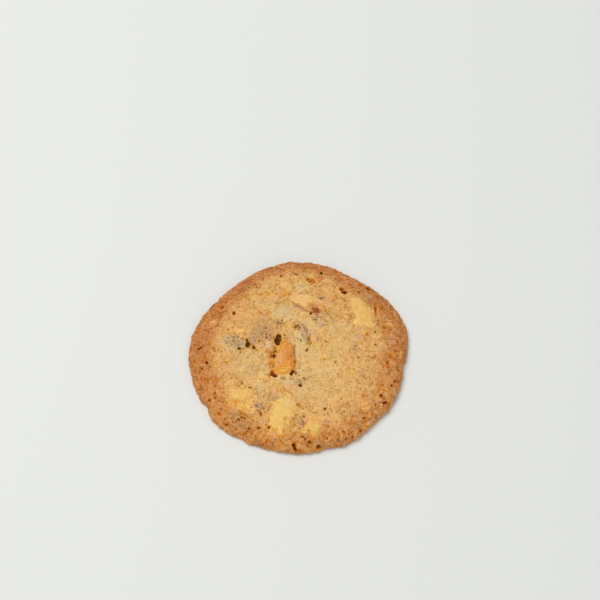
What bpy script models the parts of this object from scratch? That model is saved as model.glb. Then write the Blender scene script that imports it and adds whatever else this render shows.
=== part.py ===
"""Almond tuile: one round, flat almond biscuit, lying on its underside.

The biscuit is a low dome of baked dough with an uneven outline, a rounded browned rim and a flat
foot. Five large chunks of chopped almond sit in pockets in its top and are pieces of their own.
Smaller crumbs of almond are baked under the dough's skin and show as lumps in it.

Metres, +Z up. The origin is in the middle of the biscuit's box, on the surface it lies on.
"""

import math

import bmesh
import bpy
import numpy as np

MM = 0.001

# Driving dimensions, in metres
RADIUS = 0.035
CENTRE_HEIGHT = 0.0074
NOSE_HEIGHT = 0.0008  # of the widest line round the rim
FOOT_INSET = 0.0007  # from the widest line in to the edge of the flat foot
POCKET_GAP = 0.0004  # air between an almond chunk and its pocket

# The outline's radius at even steps of angle, from +X towards +Y, as shares of RADIUS
EDGE_SHARES = (
    0.989, 1.037, 1.028, 1.003, 0.990, 1.011, 1.017, 1.010, 0.980, 0.961, 0.975, 0.999,
    1.007, 1.001, 1.009, 1.028, 1.015, 1.008, 1.015, 1.005, 1.006, 0.984, 0.988, 0.976,
)
# Small nicks and bulges in it: angle and half width in degrees, and how far out in millimetres
EDGE_NICKS = (
    (0, 3.0, 0.10), (96, 5.0, 0.50), (213, 3.0, -1.00), (238, 2.0, -0.55), (284, 3.0, -0.30),
    (293, 3.5, 0.45), (302, 2.0, 0.30), (324, 2.0, 0.45), (352, 3.5, -0.60),
)
EDGE_WAVER = 0.12 * MM
EDGE_WAVER_LENGTH = 4.0 * MM

# The dome is flat on top and rolls over at the rim: its height falls as sqrt(1 - share ** power)
DOME_POWER = 4

# The mesh: rings of 6, 12, 18 ... points up to the shoulder, then rings as long as the last one
DOME_RINGS = 30
SHOULDER_SHARE = 0.962
RIM_SHARES = (0.976, 0.988, 0.996, 1.0)
UNDER_RINGS = ((0.25 * FOOT_INSET, 0.35 * NOSE_HEIGHT), (FOOT_INSET, 0.0))  # inset, height

# Soft swells of the whole top: (height, length), in metres
SWELLS = ((0.22 * MM, 9.0 * MM), (0.13 * MM, 4.2 * MM))
SWELL_SEED = 11

# The tables below are in millimetres, from a middle that lies this far in front of the outline's
MARKS_NEARER = 0.85 * MM

# Lumps in the dough: x, y, half length, half width, turn in degrees, rise
LUMPS = (
    (-10.0, 5.5, 6.0, 4.6, 35, 0.90),
    (-13.0, 9.0, 3.5, 2.2, 20, 0.40),
    (-20.0, 2.3, 3.2, 2.4, -15, 0.35),
    (1.5, 6.0, 4.2, 1.6, -60, 0.50),
    (-19.5, -17.5, 5.0, 3.2, -35, 0.60),
    (-17.5, -25.0, 4.2, 2.2, -25, 0.45),
    (1.5, -12.0, 2.5, 2.0, 60, 0.30),
    (-12.5, -15.5, 3.6, 1.8, 60, 0.35),
    (-12.5, -21.5, 2.4, 1.4, 0, 0.30),
    (14.0, -8.0, 9.0, 7.0, 0, 0.25),
    (12.0, 4.0, 5.0, 5.0, 0, 0.20),
    (2.0, 17.0, 9.0, 5.5, -20, 0.50),
    (-6.0, 15.0, 5.0, 3.5, 20, 0.30),
    (20.0, 13.5, 7.0, 6.5, 0, 0.40),
    (-5.0, -24.0, 7.5, 5.5, 65, 0.70),
    (4.8, -28.3, 4.5, 4.0, 90, 0.50),
    (-5.0, -3.5, 8.0, 8.5, 0, -0.90),
)

# Open pits: x, y, half width, half length, turn in degrees, depth
PITS = (
    (-6.5, 2.8, 1.15, 2.10, -5, 2.4),
    (-8.2, -2.0, 0.80, 1.60, -15, 1.2),
    (-8.0, -10.0, 1.00, 1.20, 30, 1.6),
    (-2.0, -9.4, 0.75, 1.10, -45, 1.6),
    (-16.1, 1.1, 0.55, 1.40, 12, 1.2),
    (-14.2, -0.2, 0.50, 0.75, 20, 1.0),
    (3.5, 3.1, 0.45, 1.30, -5, 0.9),
    (2.7, -0.8, 0.55, 0.75, 0, 0.9),
    (4.0, 12.6, 0.55, 0.80, 30, 1.0),
    (14.8, 21.5, 0.95, 0.75, 10, 1.2),
    (22.9, 24.8, 0.75, 0.65, 0, 1.0),
    (7.5, 30.1, 0.50, 0.95, -10, 1.0),
    (-1.3, 28.9, 0.80, 0.50, 0, 0.8),
    (-26.4, -15.7, 0.40, 1.20, 8, 0.9),
    (-1.0, -34.3, 0.90, 0.80, 0, 1.1),
)

# Almond chunks. A chunk's outline is seen from above, turning anticlockwise. It stands proud of
# the dough by its rise and reaches down by its depth.
CHUNKS = {
    "almond_centre_toasted": {
        "outline": (
            (-4.2, 3.5), (-5.4, 2.6), (-6.1, 0.8), (-6.9, -1.2), (-7.7, -3.0), (-8.9, -4.2), (-9.9, -5.2),
            (-9.8, -6.8), (-8.8, -8.3), (-8.0, -9.4), (-6.2, -10.1), (-3.8, -9.9), (-2.1, -8.9),
            (-1.2, -7.8), (-0.3, -6.3), (-0.2, -4.6), (-0.8, -3.2), (-0.7, -1.4), (-0.8, 0.6), (-1.5, 2.3),
            (-2.7, 3.5),
        ),
        "rise": 1.3,
        "depth": 3.6,
        "toasted": True,
    },
    "almond_upper_middle": {
        "outline": (
            (-3.6, 19.3), (-2.4, 17.4), (0.6, 15.7), (3.6, 13.6), (6.0, 12.4), (8.0, 13.4), (8.4, 15.4),
            (6.6, 17.8), (3.8, 20.4), (-2.6, 20.6),
        ),
        "rise": 0.35,
        "depth": 3.4,
        "toasted": False,
    },
    "almond_upper_right": {
        "outline": (
            (16.5, 20.4), (17.0, 15.0), (18.6, 11.5), (19.5, 8.0), (23.8, 8.0), (23.6, 15.6),
            (21.0, 18.6), (19.2, 20.4),
        ),
        "rise": 0.25,
        "depth": 3.2,
        "toasted": False,
    },
    "almond_lower_middle": {
        "outline": (
            (-0.6, -18.0), (-4.0, -18.2), (-6.2, -20.2), (-8.8, -22.4), (-9.0, -26.5), (-8.4, -29.2),
            (-4.4, -29.2), (-3.4, -26.2), (-1.9, -23.2), (-0.4, -20.9),
        ),
        "rise": 0.25,
        "depth": 3.4,
        "toasted": False,
    },
    "almond_lower_right": {
        "outline": (
            (3.0, -23.8), (2.2, -26.6), (1.8, -29.3), (3.8, -31.0), (5.8, -31.2), (7.1, -30.0),
            (7.2, -26.4), (6.2, -23.6),
        ),
        "rise": 0.25,
        "depth": 2.6,
        "toasted": False,
    },
}
CHUNK_OUTLINE_POINTS = 28
CHUNK_CORNER_ROUNDING = 2
CHUNK_UNEVEN = 0.15 * MM
CHUNK_UNEVEN_LENGTH = 2.5 * MM
# A chunk's rings from its bottom up: share of its outline, and height as a share of the depth
# under the dough's surface (below 0) or of the rise over it (above 0). A pocket's run straight up.
CHUNK_RINGS = ((0.60, -1.0), (0.90, -0.75), (1.00, -0.30), (0.98, 0.40), (0.84, 0.90))
POCKET_RINGS = ((0.60, -1.0), (0.90, -0.75), (1.00, -0.30), (1.00, 4.0))

# Colours, linear
DOUGH = (0.72, 0.41, 0.14)
CREAM = (0.82, 0.57, 0.25)
TOAST = (0.70, 0.31, 0.09)


def lattice_noise(x, y, length, seed):
    """Smooth noise from -1 to 1 with bumps of this length: random heights on a slanted lattice."""
    lattice = 64
    slant = 0.6 + seed
    heights = np.random.default_rng(seed).uniform(-1, 1, (lattice, lattice))
    u = (x * math.cos(slant) - y * math.sin(slant)) / length + lattice / 2
    v = (x * math.sin(slant) + y * math.cos(slant)) / length + lattice / 2
    i, j = np.floor(u).astype(int), np.floor(v).astype(int)
    fu, fv = u - i, v - j
    fu, fv = fu * fu * (3 - 2 * fu), fv * fv * (3 - 2 * fv)
    i, j = i % lattice, j % lattice
    i2, j2 = (i + 1) % lattice, (j + 1) % lattice
    near = heights[i, j] * (1 - fu) + heights[i2, j] * fu
    far = heights[i, j2] * (1 - fu) + heights[i2, j2] * fu
    return near * (1 - fv) + far * fv


def edge_radius(angle):
    """The outline's radius at an angle: a smooth curve through EDGE_SHARES, a waver and nicks."""
    steps = len(EDGE_SHARES)
    step = angle / (2 * math.pi / steps)
    first = np.floor(step).astype(int)
    f = step - first
    before, start, end, after = (np.array(EDGE_SHARES)[(first + k) % steps] for k in (-1, 0, 1, 2))
    share = start + 0.5 * f * (
        end - before
        + f * (2 * before - 5 * start + 4 * end - after + f * (3 * (start - end) + after - before))
    )
    waver = lattice_noise(RADIUS * np.cos(angle), RADIUS * np.sin(angle), EDGE_WAVER_LENGTH, 3)
    radius = RADIUS * share + EDGE_WAVER * waver
    for degrees, half_width, out in EDGE_NICKS:
        away = np.mod(angle - math.radians(degrees) + math.pi, 2 * math.pi) - math.pi
        radius += out * MM * np.exp(-((away / math.radians(half_width)) ** 2))
    return radius


def outline_centre():
    """The middle of the outline's box, which is moved to the origin."""
    angle = np.linspace(0, 2 * math.pi, 720, endpoint=False)
    x, y = edge_radius(angle) * np.cos(angle), edge_radius(angle) * np.sin(angle)
    return (x.max() + x.min()) / 2, (y.max() + y.min()) / 2


def turned(x, y, centre_x, centre_y, degrees):
    """Distances along and across a line through a centre, turned by so many degrees from +X."""
    turn = math.radians(degrees)
    dx, dy = x - centre_x, y - centre_y
    return dx * math.cos(turn) + dy * math.sin(turn), dy * math.cos(turn) - dx * math.sin(turn)


def lump_relief(x, y):
    """Rise of all the lumps at a point."""
    rise = np.zeros_like(x)
    for centre_x, centre_y, half_length, half_width, degrees, height in LUMPS:
        along, across = turned(x, y, centre_x * MM, centre_y * MM - MARKS_NEARER, degrees)
        away = (along / (half_length * MM)) ** 2 + (across / (half_width * MM)) ** 2
        rise += height * MM * np.exp(-1.4 * away ** 1.5)
    return rise


def top_height(x, y):
    """Height of the dough's top at a point."""
    share = np.minimum(np.hypot(x, y) / edge_radius(np.arctan2(y, x)), 1)
    dome = NOSE_HEIGHT + (CENTRE_HEIGHT - NOSE_HEIGHT) * np.sqrt(1 - share**DOME_POWER)
    relief = lump_relief(x, y)
    for seed, (height, length) in enumerate(SWELLS, SWELL_SEED):
        relief = relief + height * lattice_noise(x, y, length, seed)
    fade = np.clip((1 - share) / (1 - SHOULDER_SHARE), 0, 1)
    return dome + relief * fade


def new_object(name, points, faces, material):
    """A shaded mesh object whose points are moved so that the outline's box is centred."""
    shift = np.array((*outline_centre(), 0))
    mesh = bpy.data.meshes.new(name)
    mesh.from_pydata((np.asarray(points) - shift).tolist(), [], faces)
    work = bmesh.new()
    work.from_mesh(mesh)
    bmesh.ops.recalc_face_normals(work, faces=work.faces)
    work.to_mesh(mesh)
    work.free()
    mesh.shade_smooth()
    mesh.set_sharp_from_angle(angle=math.radians(40))
    mesh.materials.append(material)
    piece = bpy.data.objects.new(name, mesh)
    bpy.context.scene.collection.objects.link(piece)
    return piece


def principled(name, colour, roughness):
    material = bpy.data.materials.new(name)
    material.use_nodes = True
    shader = material.node_tree.nodes["Principled BSDF"]
    shader.inputs["Base Color"].default_value = (*colour, 1)
    shader.inputs["Roughness"].default_value = roughness
    shader.inputs["Metallic"].default_value = 0
    material.diffuse_color = (*colour, 1)
    return material


def dome_faces():
    """Triangles between rings of 6, 12, 18 ... points round a middle point."""
    faces = []
    inner_start = 0
    for ring in range(1, DOME_RINGS + 1):
        outer_start = 1 + 3 * ring * (ring - 1)
        inner_count, outer_count = max(6 * (ring - 1), 1), 6 * ring
        for side in range(6):
            for k in range(ring):
                outer = outer_start + side * ring + k
                next_outer = outer_start + (side * ring + k + 1) % outer_count
                inner = inner_start + (side * (ring - 1) + k) % inner_count
                faces.append((inner, outer, next_outer))
                if k < ring - 1:
                    next_inner = inner_start + (side * (ring - 1) + k + 1) % inner_count
                    faces.append((inner, next_outer, next_inner))
        inner_start = outer_start
    return faces


def band_faces(first_start, second_start, count):
    """Quads between two rings of as many points."""
    return [
        (first_start + k, second_start + k, second_start + (k + 1) % count, first_start + (k + 1) % count)
        for k in range(count)
    ]


def make_biscuit(material):
    """The dough: a dome of rings, a rolled rim and a flat foot."""
    x, y = [0.0], [0.0]
    for ring in range(1, DOME_RINGS + 1):
        for k in range(6 * ring):
            angle = 2 * math.pi * k / (6 * ring)
            radius = SHOULDER_SHARE * ring / DOME_RINGS * edge_radius(np.array(angle))
            x.append(radius * math.cos(angle))
            y.append(radius * math.sin(angle))
    faces = dome_faces()

    count = 6 * DOME_RINGS
    angles = 2 * math.pi * np.arange(count) / count
    edge = edge_radius(angles)
    for share in RIM_SHARES:
        x.extend(share * edge * np.cos(angles))
        y.extend(share * edge * np.sin(angles))
    x, y = np.array(x), np.array(y)
    points = [np.column_stack((x, y, top_height(x, y)))]
    for inset, height in UNDER_RINGS:
        under = edge - inset
        ring = (under * np.cos(angles), under * np.sin(angles), np.full(count, height))
        points.append(np.column_stack(ring))
    points = np.concatenate(points)

    rings = len(RIM_SHARES) + len(UNDER_RINGS)
    shoulder = 1 + 3 * DOME_RINGS * (DOME_RINGS - 1)
    for ring in range(rings):
        faces += band_faces(shoulder + ring * count, shoulder + (ring + 1) * count, count)
    faces.append(tuple(range(shoulder + rings * count, shoulder + (rings + 1) * count)))
    return new_object("biscuit", points, faces, material)


def rounded_outline(corners):
    """Points evenly spaced round a chunk's outline, its corners rounded off."""
    corners = np.array(corners) * MM - (0, MARKS_NEARER)
    sides = np.roll(corners, -1, axis=0) - corners
    lengths = np.hypot(*sides.T)
    starts = np.concatenate(([0], np.cumsum(lengths)))
    along = np.arange(CHUNK_OUTLINE_POINTS) / CHUNK_OUTLINE_POINTS * starts[-1]
    side = np.searchsorted(starts, along, side="right") - 1
    points = corners[side] + sides[side] * ((along - starts[side]) / lengths[side])[:, None]
    for _ in range(CHUNK_CORNER_ROUNDING):
        points = (np.roll(points, 1, axis=0) + 2 * points + np.roll(points, -1, axis=0)) / 4
    return points


def make_chunk(name, chunk, material, rings, grown=0.0):
    """An almond chunk: rings of its outline and a middle top. Grown by a gap, it cuts its pocket."""
    outline = rounded_outline(chunk["outline"])
    middle = outline.mean(axis=0)
    outwards = outline - middle
    outwards *= (1 + grown / np.hypot(*outwards.T))[:, None]
    points = []
    for share, level in (*rings, (0.0, rings[-1][1] + 0.1)):
        ring = middle + share * outwards
        height = level * (chunk["rise"] * MM if level > 0 else chunk["depth"] * MM + grown)
        uneven = CHUNK_UNEVEN * lattice_noise(*ring.T, CHUNK_UNEVEN_LENGTH, 5) * (not grown)
        points.append(np.column_stack((ring, top_height(*ring.T) + height + uneven)))
    count = CHUNK_OUTLINE_POINTS
    top = len(rings) * count
    points = np.concatenate(points)[: top + 1]

    faces = [tuple(range(count))]
    for ring in range(len(rings) - 1):
        faces += band_faces(ring * count, (ring + 1) * count, count)
    faces += [(top - count + k, top - count + (k + 1) % count, top) for k in range(count)]
    return new_object(name, points, faces, material)


def make_pit_cutter(number, pit, material):
    """A dented ball on the dough's surface that leaves an open pit."""
    centre_x, centre_y = pit[0] * MM, pit[1] * MM - MARKS_NEARER
    half_width, half_length, degrees, depth = pit[2:]
    work = bmesh.new()
    bmesh.ops.create_icosphere(work, subdivisions=2, radius=1)
    turn = math.radians(degrees)
    surface = top_height(np.array([centre_x]), np.array([centre_y]))[0]
    for vert in work.verts:
        across, along = vert.co.x * half_width * MM, vert.co.y * half_length * MM
        vert.co.x = centre_x + across * math.cos(turn) - along * math.sin(turn)
        vert.co.y = centre_y + across * math.sin(turn) + along * math.cos(turn)
        vert.co.z = surface + vert.co.z * depth * MM
    work.verts.index_update()
    points = [tuple(vert.co) for vert in work.verts]
    faces = [tuple(vert.index for vert in face.verts) for face in work.faces]
    work.free()
    return new_object(f"pit_cutter_{number}", points, faces, material)


def main():
    for thing in list(bpy.data.objects):
        bpy.data.objects.remove(thing, do_unlink=True)

    dough = principled("baked_dough", DOUGH, 0.8)
    cream_almond = principled("cream_almond", CREAM, 0.5)
    toasted_almond = principled("toasted_almond", TOAST, 0.5)

    biscuit = make_biscuit(dough)
    cutters = []
    for name, chunk in CHUNKS.items():
        make_chunk(name, chunk, toasted_almond if chunk["toasted"] else cream_almond, CHUNK_RINGS)
        cutters.append(make_chunk(f"{name}_pocket", chunk, dough, POCKET_RINGS, POCKET_GAP))
    for number, pit in enumerate(PITS):
        cutters.append(make_pit_cutter(number, pit, dough))

    hollows = bpy.data.collections.new("hollows")
    bpy.context.scene.collection.children.link(hollows)
    for cutter in cutters:
        bpy.context.scene.collection.objects.unlink(cutter)
        hollows.objects.link(cutter)
        cutter.hide_render = True
        cutter.display_type = "WIRE"
    cut = biscuit.modifiers.new("hollows", "BOOLEAN")
    cut.operation = "DIFFERENCE"
    cut.operand_type = "COLLECTION"
    cut.collection = hollows
    cut.solver = "EXACT"


main()
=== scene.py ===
"""Almond tuile: the looks of one flat round almond biscuit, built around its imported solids.

The dough is one fine closed mesh over the solid's own dome and outline, with its crumb, pits and
cracks as relief. Masks painted on its points by tables of marks drive a procedural material. Each
almond chunk is a fine mesh in its own place. Metres, +Z up; the tables are in millimetres.
"""

import math
from typing import NamedTuple

import bpy
import numpy as np
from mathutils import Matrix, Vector, noise


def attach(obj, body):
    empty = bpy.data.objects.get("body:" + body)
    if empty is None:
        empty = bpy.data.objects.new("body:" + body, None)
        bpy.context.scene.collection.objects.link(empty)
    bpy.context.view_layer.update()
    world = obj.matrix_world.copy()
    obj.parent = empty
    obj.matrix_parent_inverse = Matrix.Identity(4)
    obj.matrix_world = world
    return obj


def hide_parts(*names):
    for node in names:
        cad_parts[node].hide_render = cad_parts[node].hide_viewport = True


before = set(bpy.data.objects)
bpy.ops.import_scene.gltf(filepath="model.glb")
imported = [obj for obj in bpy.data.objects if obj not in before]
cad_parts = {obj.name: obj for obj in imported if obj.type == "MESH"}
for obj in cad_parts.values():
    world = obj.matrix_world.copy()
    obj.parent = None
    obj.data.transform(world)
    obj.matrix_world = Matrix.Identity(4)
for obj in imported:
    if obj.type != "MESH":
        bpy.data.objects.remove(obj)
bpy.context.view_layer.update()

MM = 0.001

# ---------------------------------------------------------------- form, as in the solids

RADIUS = 0.035
CENTRE_HEIGHT = 0.0074
NOSE_HEIGHT = 0.0008  # of the widest line round the rim
FOOT_INSET = 0.0007  # from the widest line in to the edge of the flat foot

# The outline's radius at even steps of angle, from +X towards +Y, as shares of RADIUS
EDGE_SHARES = (
    0.989, 1.037, 1.028, 1.003, 0.990, 1.011, 1.017, 1.010, 0.980, 0.961, 0.975, 0.999,
    1.007, 1.001, 1.009, 1.028, 1.015, 1.008, 1.015, 1.005, 1.006, 0.984, 0.988, 0.976,
)
# Small nicks and bulges in it: angle and half width in degrees, and how far out in millimetres
EDGE_NICKS = (
    (0, 3.0, 0.10), (96, 5.0, 0.50), (213, 3.0, -1.00), (238, 2.0, -0.55), (284, 3.0, -0.30),
    (293, 3.5, 0.45), (302, 2.0, 0.30), (324, 2.0, 0.45), (352, 3.5, -0.60),
)
EDGE_WAVER = 0.12 * MM
EDGE_WAVER_LENGTH = 4.0 * MM
EDGE_WAVER_SEED = 3
OUTLINE_SAMPLES = 720

# The dome is flat on top and rolls over at the rim: its height falls as sqrt(1 - share ** power)
DOME_POWER = 4
SHOULDER_SHARE = 0.962  # of the outline's radius, past which the top's relief fades out

# Soft swells of the whole top: (height, length)
SWELLS = ((0.22 * MM, 9.0 * MM), (0.13 * MM, 4.2 * MM))
SWELL_SEED = 11

MARKS_NEARER = 0.85 * MM  # the tables' middle lies this far in front of the outline's middle

# Lumps: x, y, half length, half width, turn in degrees, rise
LUMPS = (
    (-10.0, 5.5, 6.0, 4.6, 35, 0.90),
    (-13.0, 9.0, 3.5, 2.2, 20, 0.40),
    (-20.0, 2.3, 3.2, 2.4, -15, 0.35),
    (1.5, 6.0, 4.2, 1.6, -60, 0.50),
    (-19.5, -17.5, 5.0, 3.2, -35, 0.60),
    (-17.5, -25.0, 4.2, 2.2, -25, 0.45),
    (1.5, -12.0, 2.5, 2.0, 60, 0.30),
    (-12.5, -15.5, 3.6, 1.8, 60, 0.35),
    (-12.5, -21.5, 2.4, 1.4, 0, 0.30),
    (14.0, -8.0, 9.0, 7.0, 0, 0.25),
    (12.0, 4.0, 5.0, 5.0, 0, 0.20),
    (2.0, 17.0, 9.0, 5.5, -20, 0.50),
    (-6.0, 15.0, 5.0, 3.5, 20, 0.30),
    (20.0, 13.5, 7.0, 6.5, 0, 0.40),
    (-5.0, -24.0, 7.5, 5.5, 65, 0.70),
    (4.8, -28.3, 4.5, 4.0, 90, 0.50),
    (-5.0, -3.5, 8.0, 8.5, 0, -0.90),
)
# A lump falls away as exp(-fall * square ** power), where square is the squared distance from its
# middle as a share of its size
LUMP_FALL, LUMP_POWER = 1.4, 1.5


class Chunk(NamedTuple):
    """An almond chunk, in millimetres: its form, and the dough that lies over its edge."""

    outline: tuple
    rise: float  # over the dough
    depth: float  # under the dough's surface
    crisp: float  # how sharply its rim turns down
    facets: tuple  # what cuts its top: direction in degrees, distance from the middle, slope
    bare: float  # the share of its outline up to which it is bare of dough
    fade: float  # how wide the dough's edge on it fades, as a share of its outline
    rough: float = 0.09  # how uneven it is
    slot: str = "cream_almond"


CHUNKS = {
    "almond_centre_toasted": Chunk(
        outline=(
            (-4.2, 3.5), (-5.4, 2.6), (-6.1, 0.8), (-6.9, -1.2), (-7.7, -3.0), (-8.9, -4.2), (-9.9, -5.2),
            (-9.8, -6.8), (-8.8, -8.3), (-8.0, -9.4), (-6.2, -10.1), (-3.8, -9.9), (-2.1, -8.9),
            (-1.2, -7.8), (-0.3, -6.3), (-0.2, -4.6), (-0.8, -3.2), (-0.7, -1.4), (-0.8, 0.6), (-1.5, 2.3),
            (-2.7, 3.5),
        ),
        facets=((205, 1.2, 0.28), (262, 3.2, 0.36), (5, 1.7, 0.28), (150, 1.6, 0.42), (60, 3.2, 0.30)),
        rise=1.3, depth=3.6, crisp=8.0, bare=1.0, fade=0.10, rough=0.17, slot="toasted_almond",
    ),
    "almond_upper_middle": Chunk(
        outline=(
            (-3.6, 19.3), (-2.6, 20.6), (3.8, 20.4), (6.6, 17.8), (8.4, 15.4), (8.0, 13.4),
            (6.0, 12.4), (3.6, 13.6), (0.6, 15.7), (-2.4, 17.4),
        ),
        facets=((-50, 1.5, 0.10), (110, 2.2, 0.06)),
        rise=0.35, depth=3.4, crisp=6.0, bare=0.88, fade=0.15,
    ),
    "almond_upper_right": Chunk(
        outline=(
            (16.5, 20.4), (19.2, 20.4), (21.0, 18.6), (23.6, 15.6), (23.8, 8.0), (19.5, 8.0),
            (18.6, 11.5), (17.0, 15.0),
        ),
        facets=((60, 3.0, 0.06), (230, 3.0, 0.10)),
        rise=0.16, depth=3.2, crisp=10.0, bare=0.93, fade=0.10,
    ),
    "almond_lower_middle": Chunk(
        outline=(
            (-0.6, -18.0), (-0.4, -20.9), (-1.9, -23.2), (-3.4, -26.2), (-4.4, -29.2), (-8.4, -29.2),
            (-9.0, -26.5), (-8.8, -22.4), (-6.2, -20.2), (-4.0, -18.2),
        ),
        facets=((240, 3.2, 0.10),),
        rise=0.20, depth=3.4, crisp=5.0, bare=0.82, fade=0.32,
    ),
    "almond_lower_right": Chunk(
        outline=(
            (3.0, -23.8), (6.2, -23.6), (7.2, -26.4), (7.1, -30.0), (5.8, -31.2), (3.8, -31.0),
            (1.8, -29.3), (2.2, -26.6),
        ),
        facets=((280, 1.5, 0.10),),
        rise=0.16, depth=2.6, crisp=5.0, bare=0.66, fade=0.35,
    ),
}

# ---------------------------------------------------------------- fine meshes

TOP_RINGS = 140
UNDER_RINGS = 70
UNDER_SEAM = 0.4  # of a ring, by which the underside's last one lies inside the foot's edge
RIM_STEPS = 11
UNDER_NOSE_STEPS = 7
CHUNK_POINTS = 112
CHUNK_TOP_RINGS = 26
CHUNK_RING_POWER = 0.8  # below 1, the rings lie closer together towards the rim
CHUNK_ROUNDING = 7
CHUNK_SINK = 0.5  # of its rise, by which a chunk's rim lies under the dough's surface
CHUNK_SIDES = ((0.99, -0.30), (0.90, -0.75), (0.60, -1.0))  # shares of its outline and its depth
CHUNK_DIP = 1.1 * MM  # of the dough under a chunk
DIP_EDGE = (0.74, 0.95)  # shares of a chunk's outline between which the dip ends
DIP_RAGGEDNESS = 0.03

# Noises: bump length and seed
CRUMB_NOISES = ((2.8 * MM, 1), (1.15 * MM, 2), (0.6 * MM, 3))  # coarse to fine
PATCHY_NOISE = (6.0 * MM, 4)
KNOB_NOISE = (1.7 * MM, 5)
CHUNK_NOISES = ((2.2 * MM, 7), (0.9 * MM, 8))
DUSTING_NOISES = ((1.4 * MM, 9), (0.6 * MM, 3))
TINT_NOISES = ((1.0 * MM, 12), (0.55 * MM, 13))
TEETH_NOISE = (1.5 * MM, 14)
PIT_NOISE = (0.7 * MM, 15)
WARPS = ((0.24 * MM, 1.1 * MM), (0.19 * MM, 0.55 * MM))  # reach and bump length
WARP_SEED = 10

# Relief of the crumb's noises, in millimetres, over the whole biscuit and in hollows underneath
CRUMB_RELIEF = (0.08, 0.07, 0.045)
UNDER_RELIEF = (0.08, 0.06, 0.04)
UNDER_LEVEL = 0.04  # the mean depth of those hollows
SMOOTHING = 0.7  # how much of the finer relief a patch of smooth crumb lacks
RIM_ROUGHENING = 1.1  # how much more relief the rim has
CRUMB_TONE = (0.20, 0.28, 0.50)  # how much of the crumb's painted shade and light goes with each noise
KNOBS = 0.26 * MM  # relief of the rim
TEETH = 0.26 * MM  # relief of the outline, besides the rim's

# How far noises move the edges of painted marks, as shares of a mark's size
TINT_RAGGEDNESS = (0.40, 0.30)
DUSTING_RAGGEDNESS = (0.26, 0.14)
PIT_UNEVENNESS = 0.30  # of the darkness inside a pit
FINE_ALMOND_RELIEF = 0.4  # of the broad relief on a chunk
PIT_DEPTH = 1.1  # of its half width, where it is darkest
CRACK_DEPTH = 0.9 * MM
CRACK_STEPS = 33
PORES = 900
PORE_SEED = 5
PORE_HALF_WIDTHS = (0.15, 0.42)
PORE_DEPTH = 0.6  # of its half width
PORE_LENGTHS = (0.8, 1.5)  # of its half width
PORES_KEPT = (0.10, 0.90)  # the share kept in the middle, and how much more at the edge
PORE_GROWTH = (0.70, 0.45)  # the largest one's size in the middle, and how much more at the edge
PORE_DARKENING = (0.55, 0.50)  # in the middle, and how much more at the edge
PORE_DARKNESS = (0.26, 0.55)  # the least, and how much more the darkest has
PORE_DARKNESS_POWER = 1.5  # above 1, more pores are pale
PORE_REACH = 1.2 * MM  # pores and specks are painted up to this far from their middles

# Shares of a mark's size between which it fades out
PIT_EDGE = (0.60, 1.32)
HOLLOW_EDGE = (0.5, 1.15)
CRACK_EDGE = (0.3, 1.4)
PORE_EDGE = (0.5, 1.3)
PORE_HOLLOW_EDGE = (0.3, 1.2)
PATCH_EDGE = (0.3, 1.3)
RUDDY_EDGE = (0.5, 1.3)
UNRUDDY_EDGE = (0.6, 1.3)
CRUST_EDGE = (0.35, 1.30)
SOFT, CRISP = (0.25, 1.40), (0.50, 1.25)

# How far up a point's normal looks, between which it counts as on top, underneath or off the side
ON_TOP = (0.1, 0.5)
UNDERNEATH = (-0.5, -0.9)
OFF_SIDE = (-0.1, 0.5)

# Shares of the radius between which the rim's relief and colours grow
RIMWARD = (0.80, 0.97)
TEETH_FROM = (0.93, 0.99)
RUDDY_FROM = (0.45, 0.75)
WARM_FROM = (0.30, 0.80)  # from PALE_MIDDLE
# The same for the browned crust, and how much further in each is at the sides and at the back
BROWNED_FROM, BROWNED_TO = (0.82, 0.11, 0.05), (0.92, 0.06, 0.02)

# How ragged those edges are, by the patchy noise and by the coarsest crumb
BROWNED_RAGGEDNESS, BROWNED_GRAININESS = 0.035, 0.02
WARM_RAGGEDNESS = 0.06
RUDDINESS = 0.65  # of the crust outwards of RUDDY_FROM, where it isn't browned
MOTTLED_LEAST = 0.40  # where the rim is mottled least

DARKEST_RIM_TURN = math.radians(25)  # from +Y towards -X, where the rim is darkest: browned deeper, with painted shade
MOTTLED_TURN = math.radians(20)  # from +X towards -Y, where the rim is mottled most
MOTTLED_FROM = (-0.75, 0.25)  # cosines of the angle from there
PALE_MIDDLE = (4.5 * MM, -5.5 * MM)  # right of and in front of the middle: the top is palest here, warmer and darker away from it
UNDERSIDE_FADE = 0.7  # how much of the marks' tints the underside lacks

# ---------------------------------------------------------------- marks on the top


class Mark(NamedTuple):
    """A spot on the top, in millimetres: its half width runs along X and its half length along Y.

    It is turned anticlockwise by so many degrees, which are left out where it isn't turned.
    """

    x: float
    y: float
    half_width: float
    half_length: float
    strength: float
    turn: float = 0


def marks(*rows):
    return [Mark(*row) for row in rows]


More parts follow.
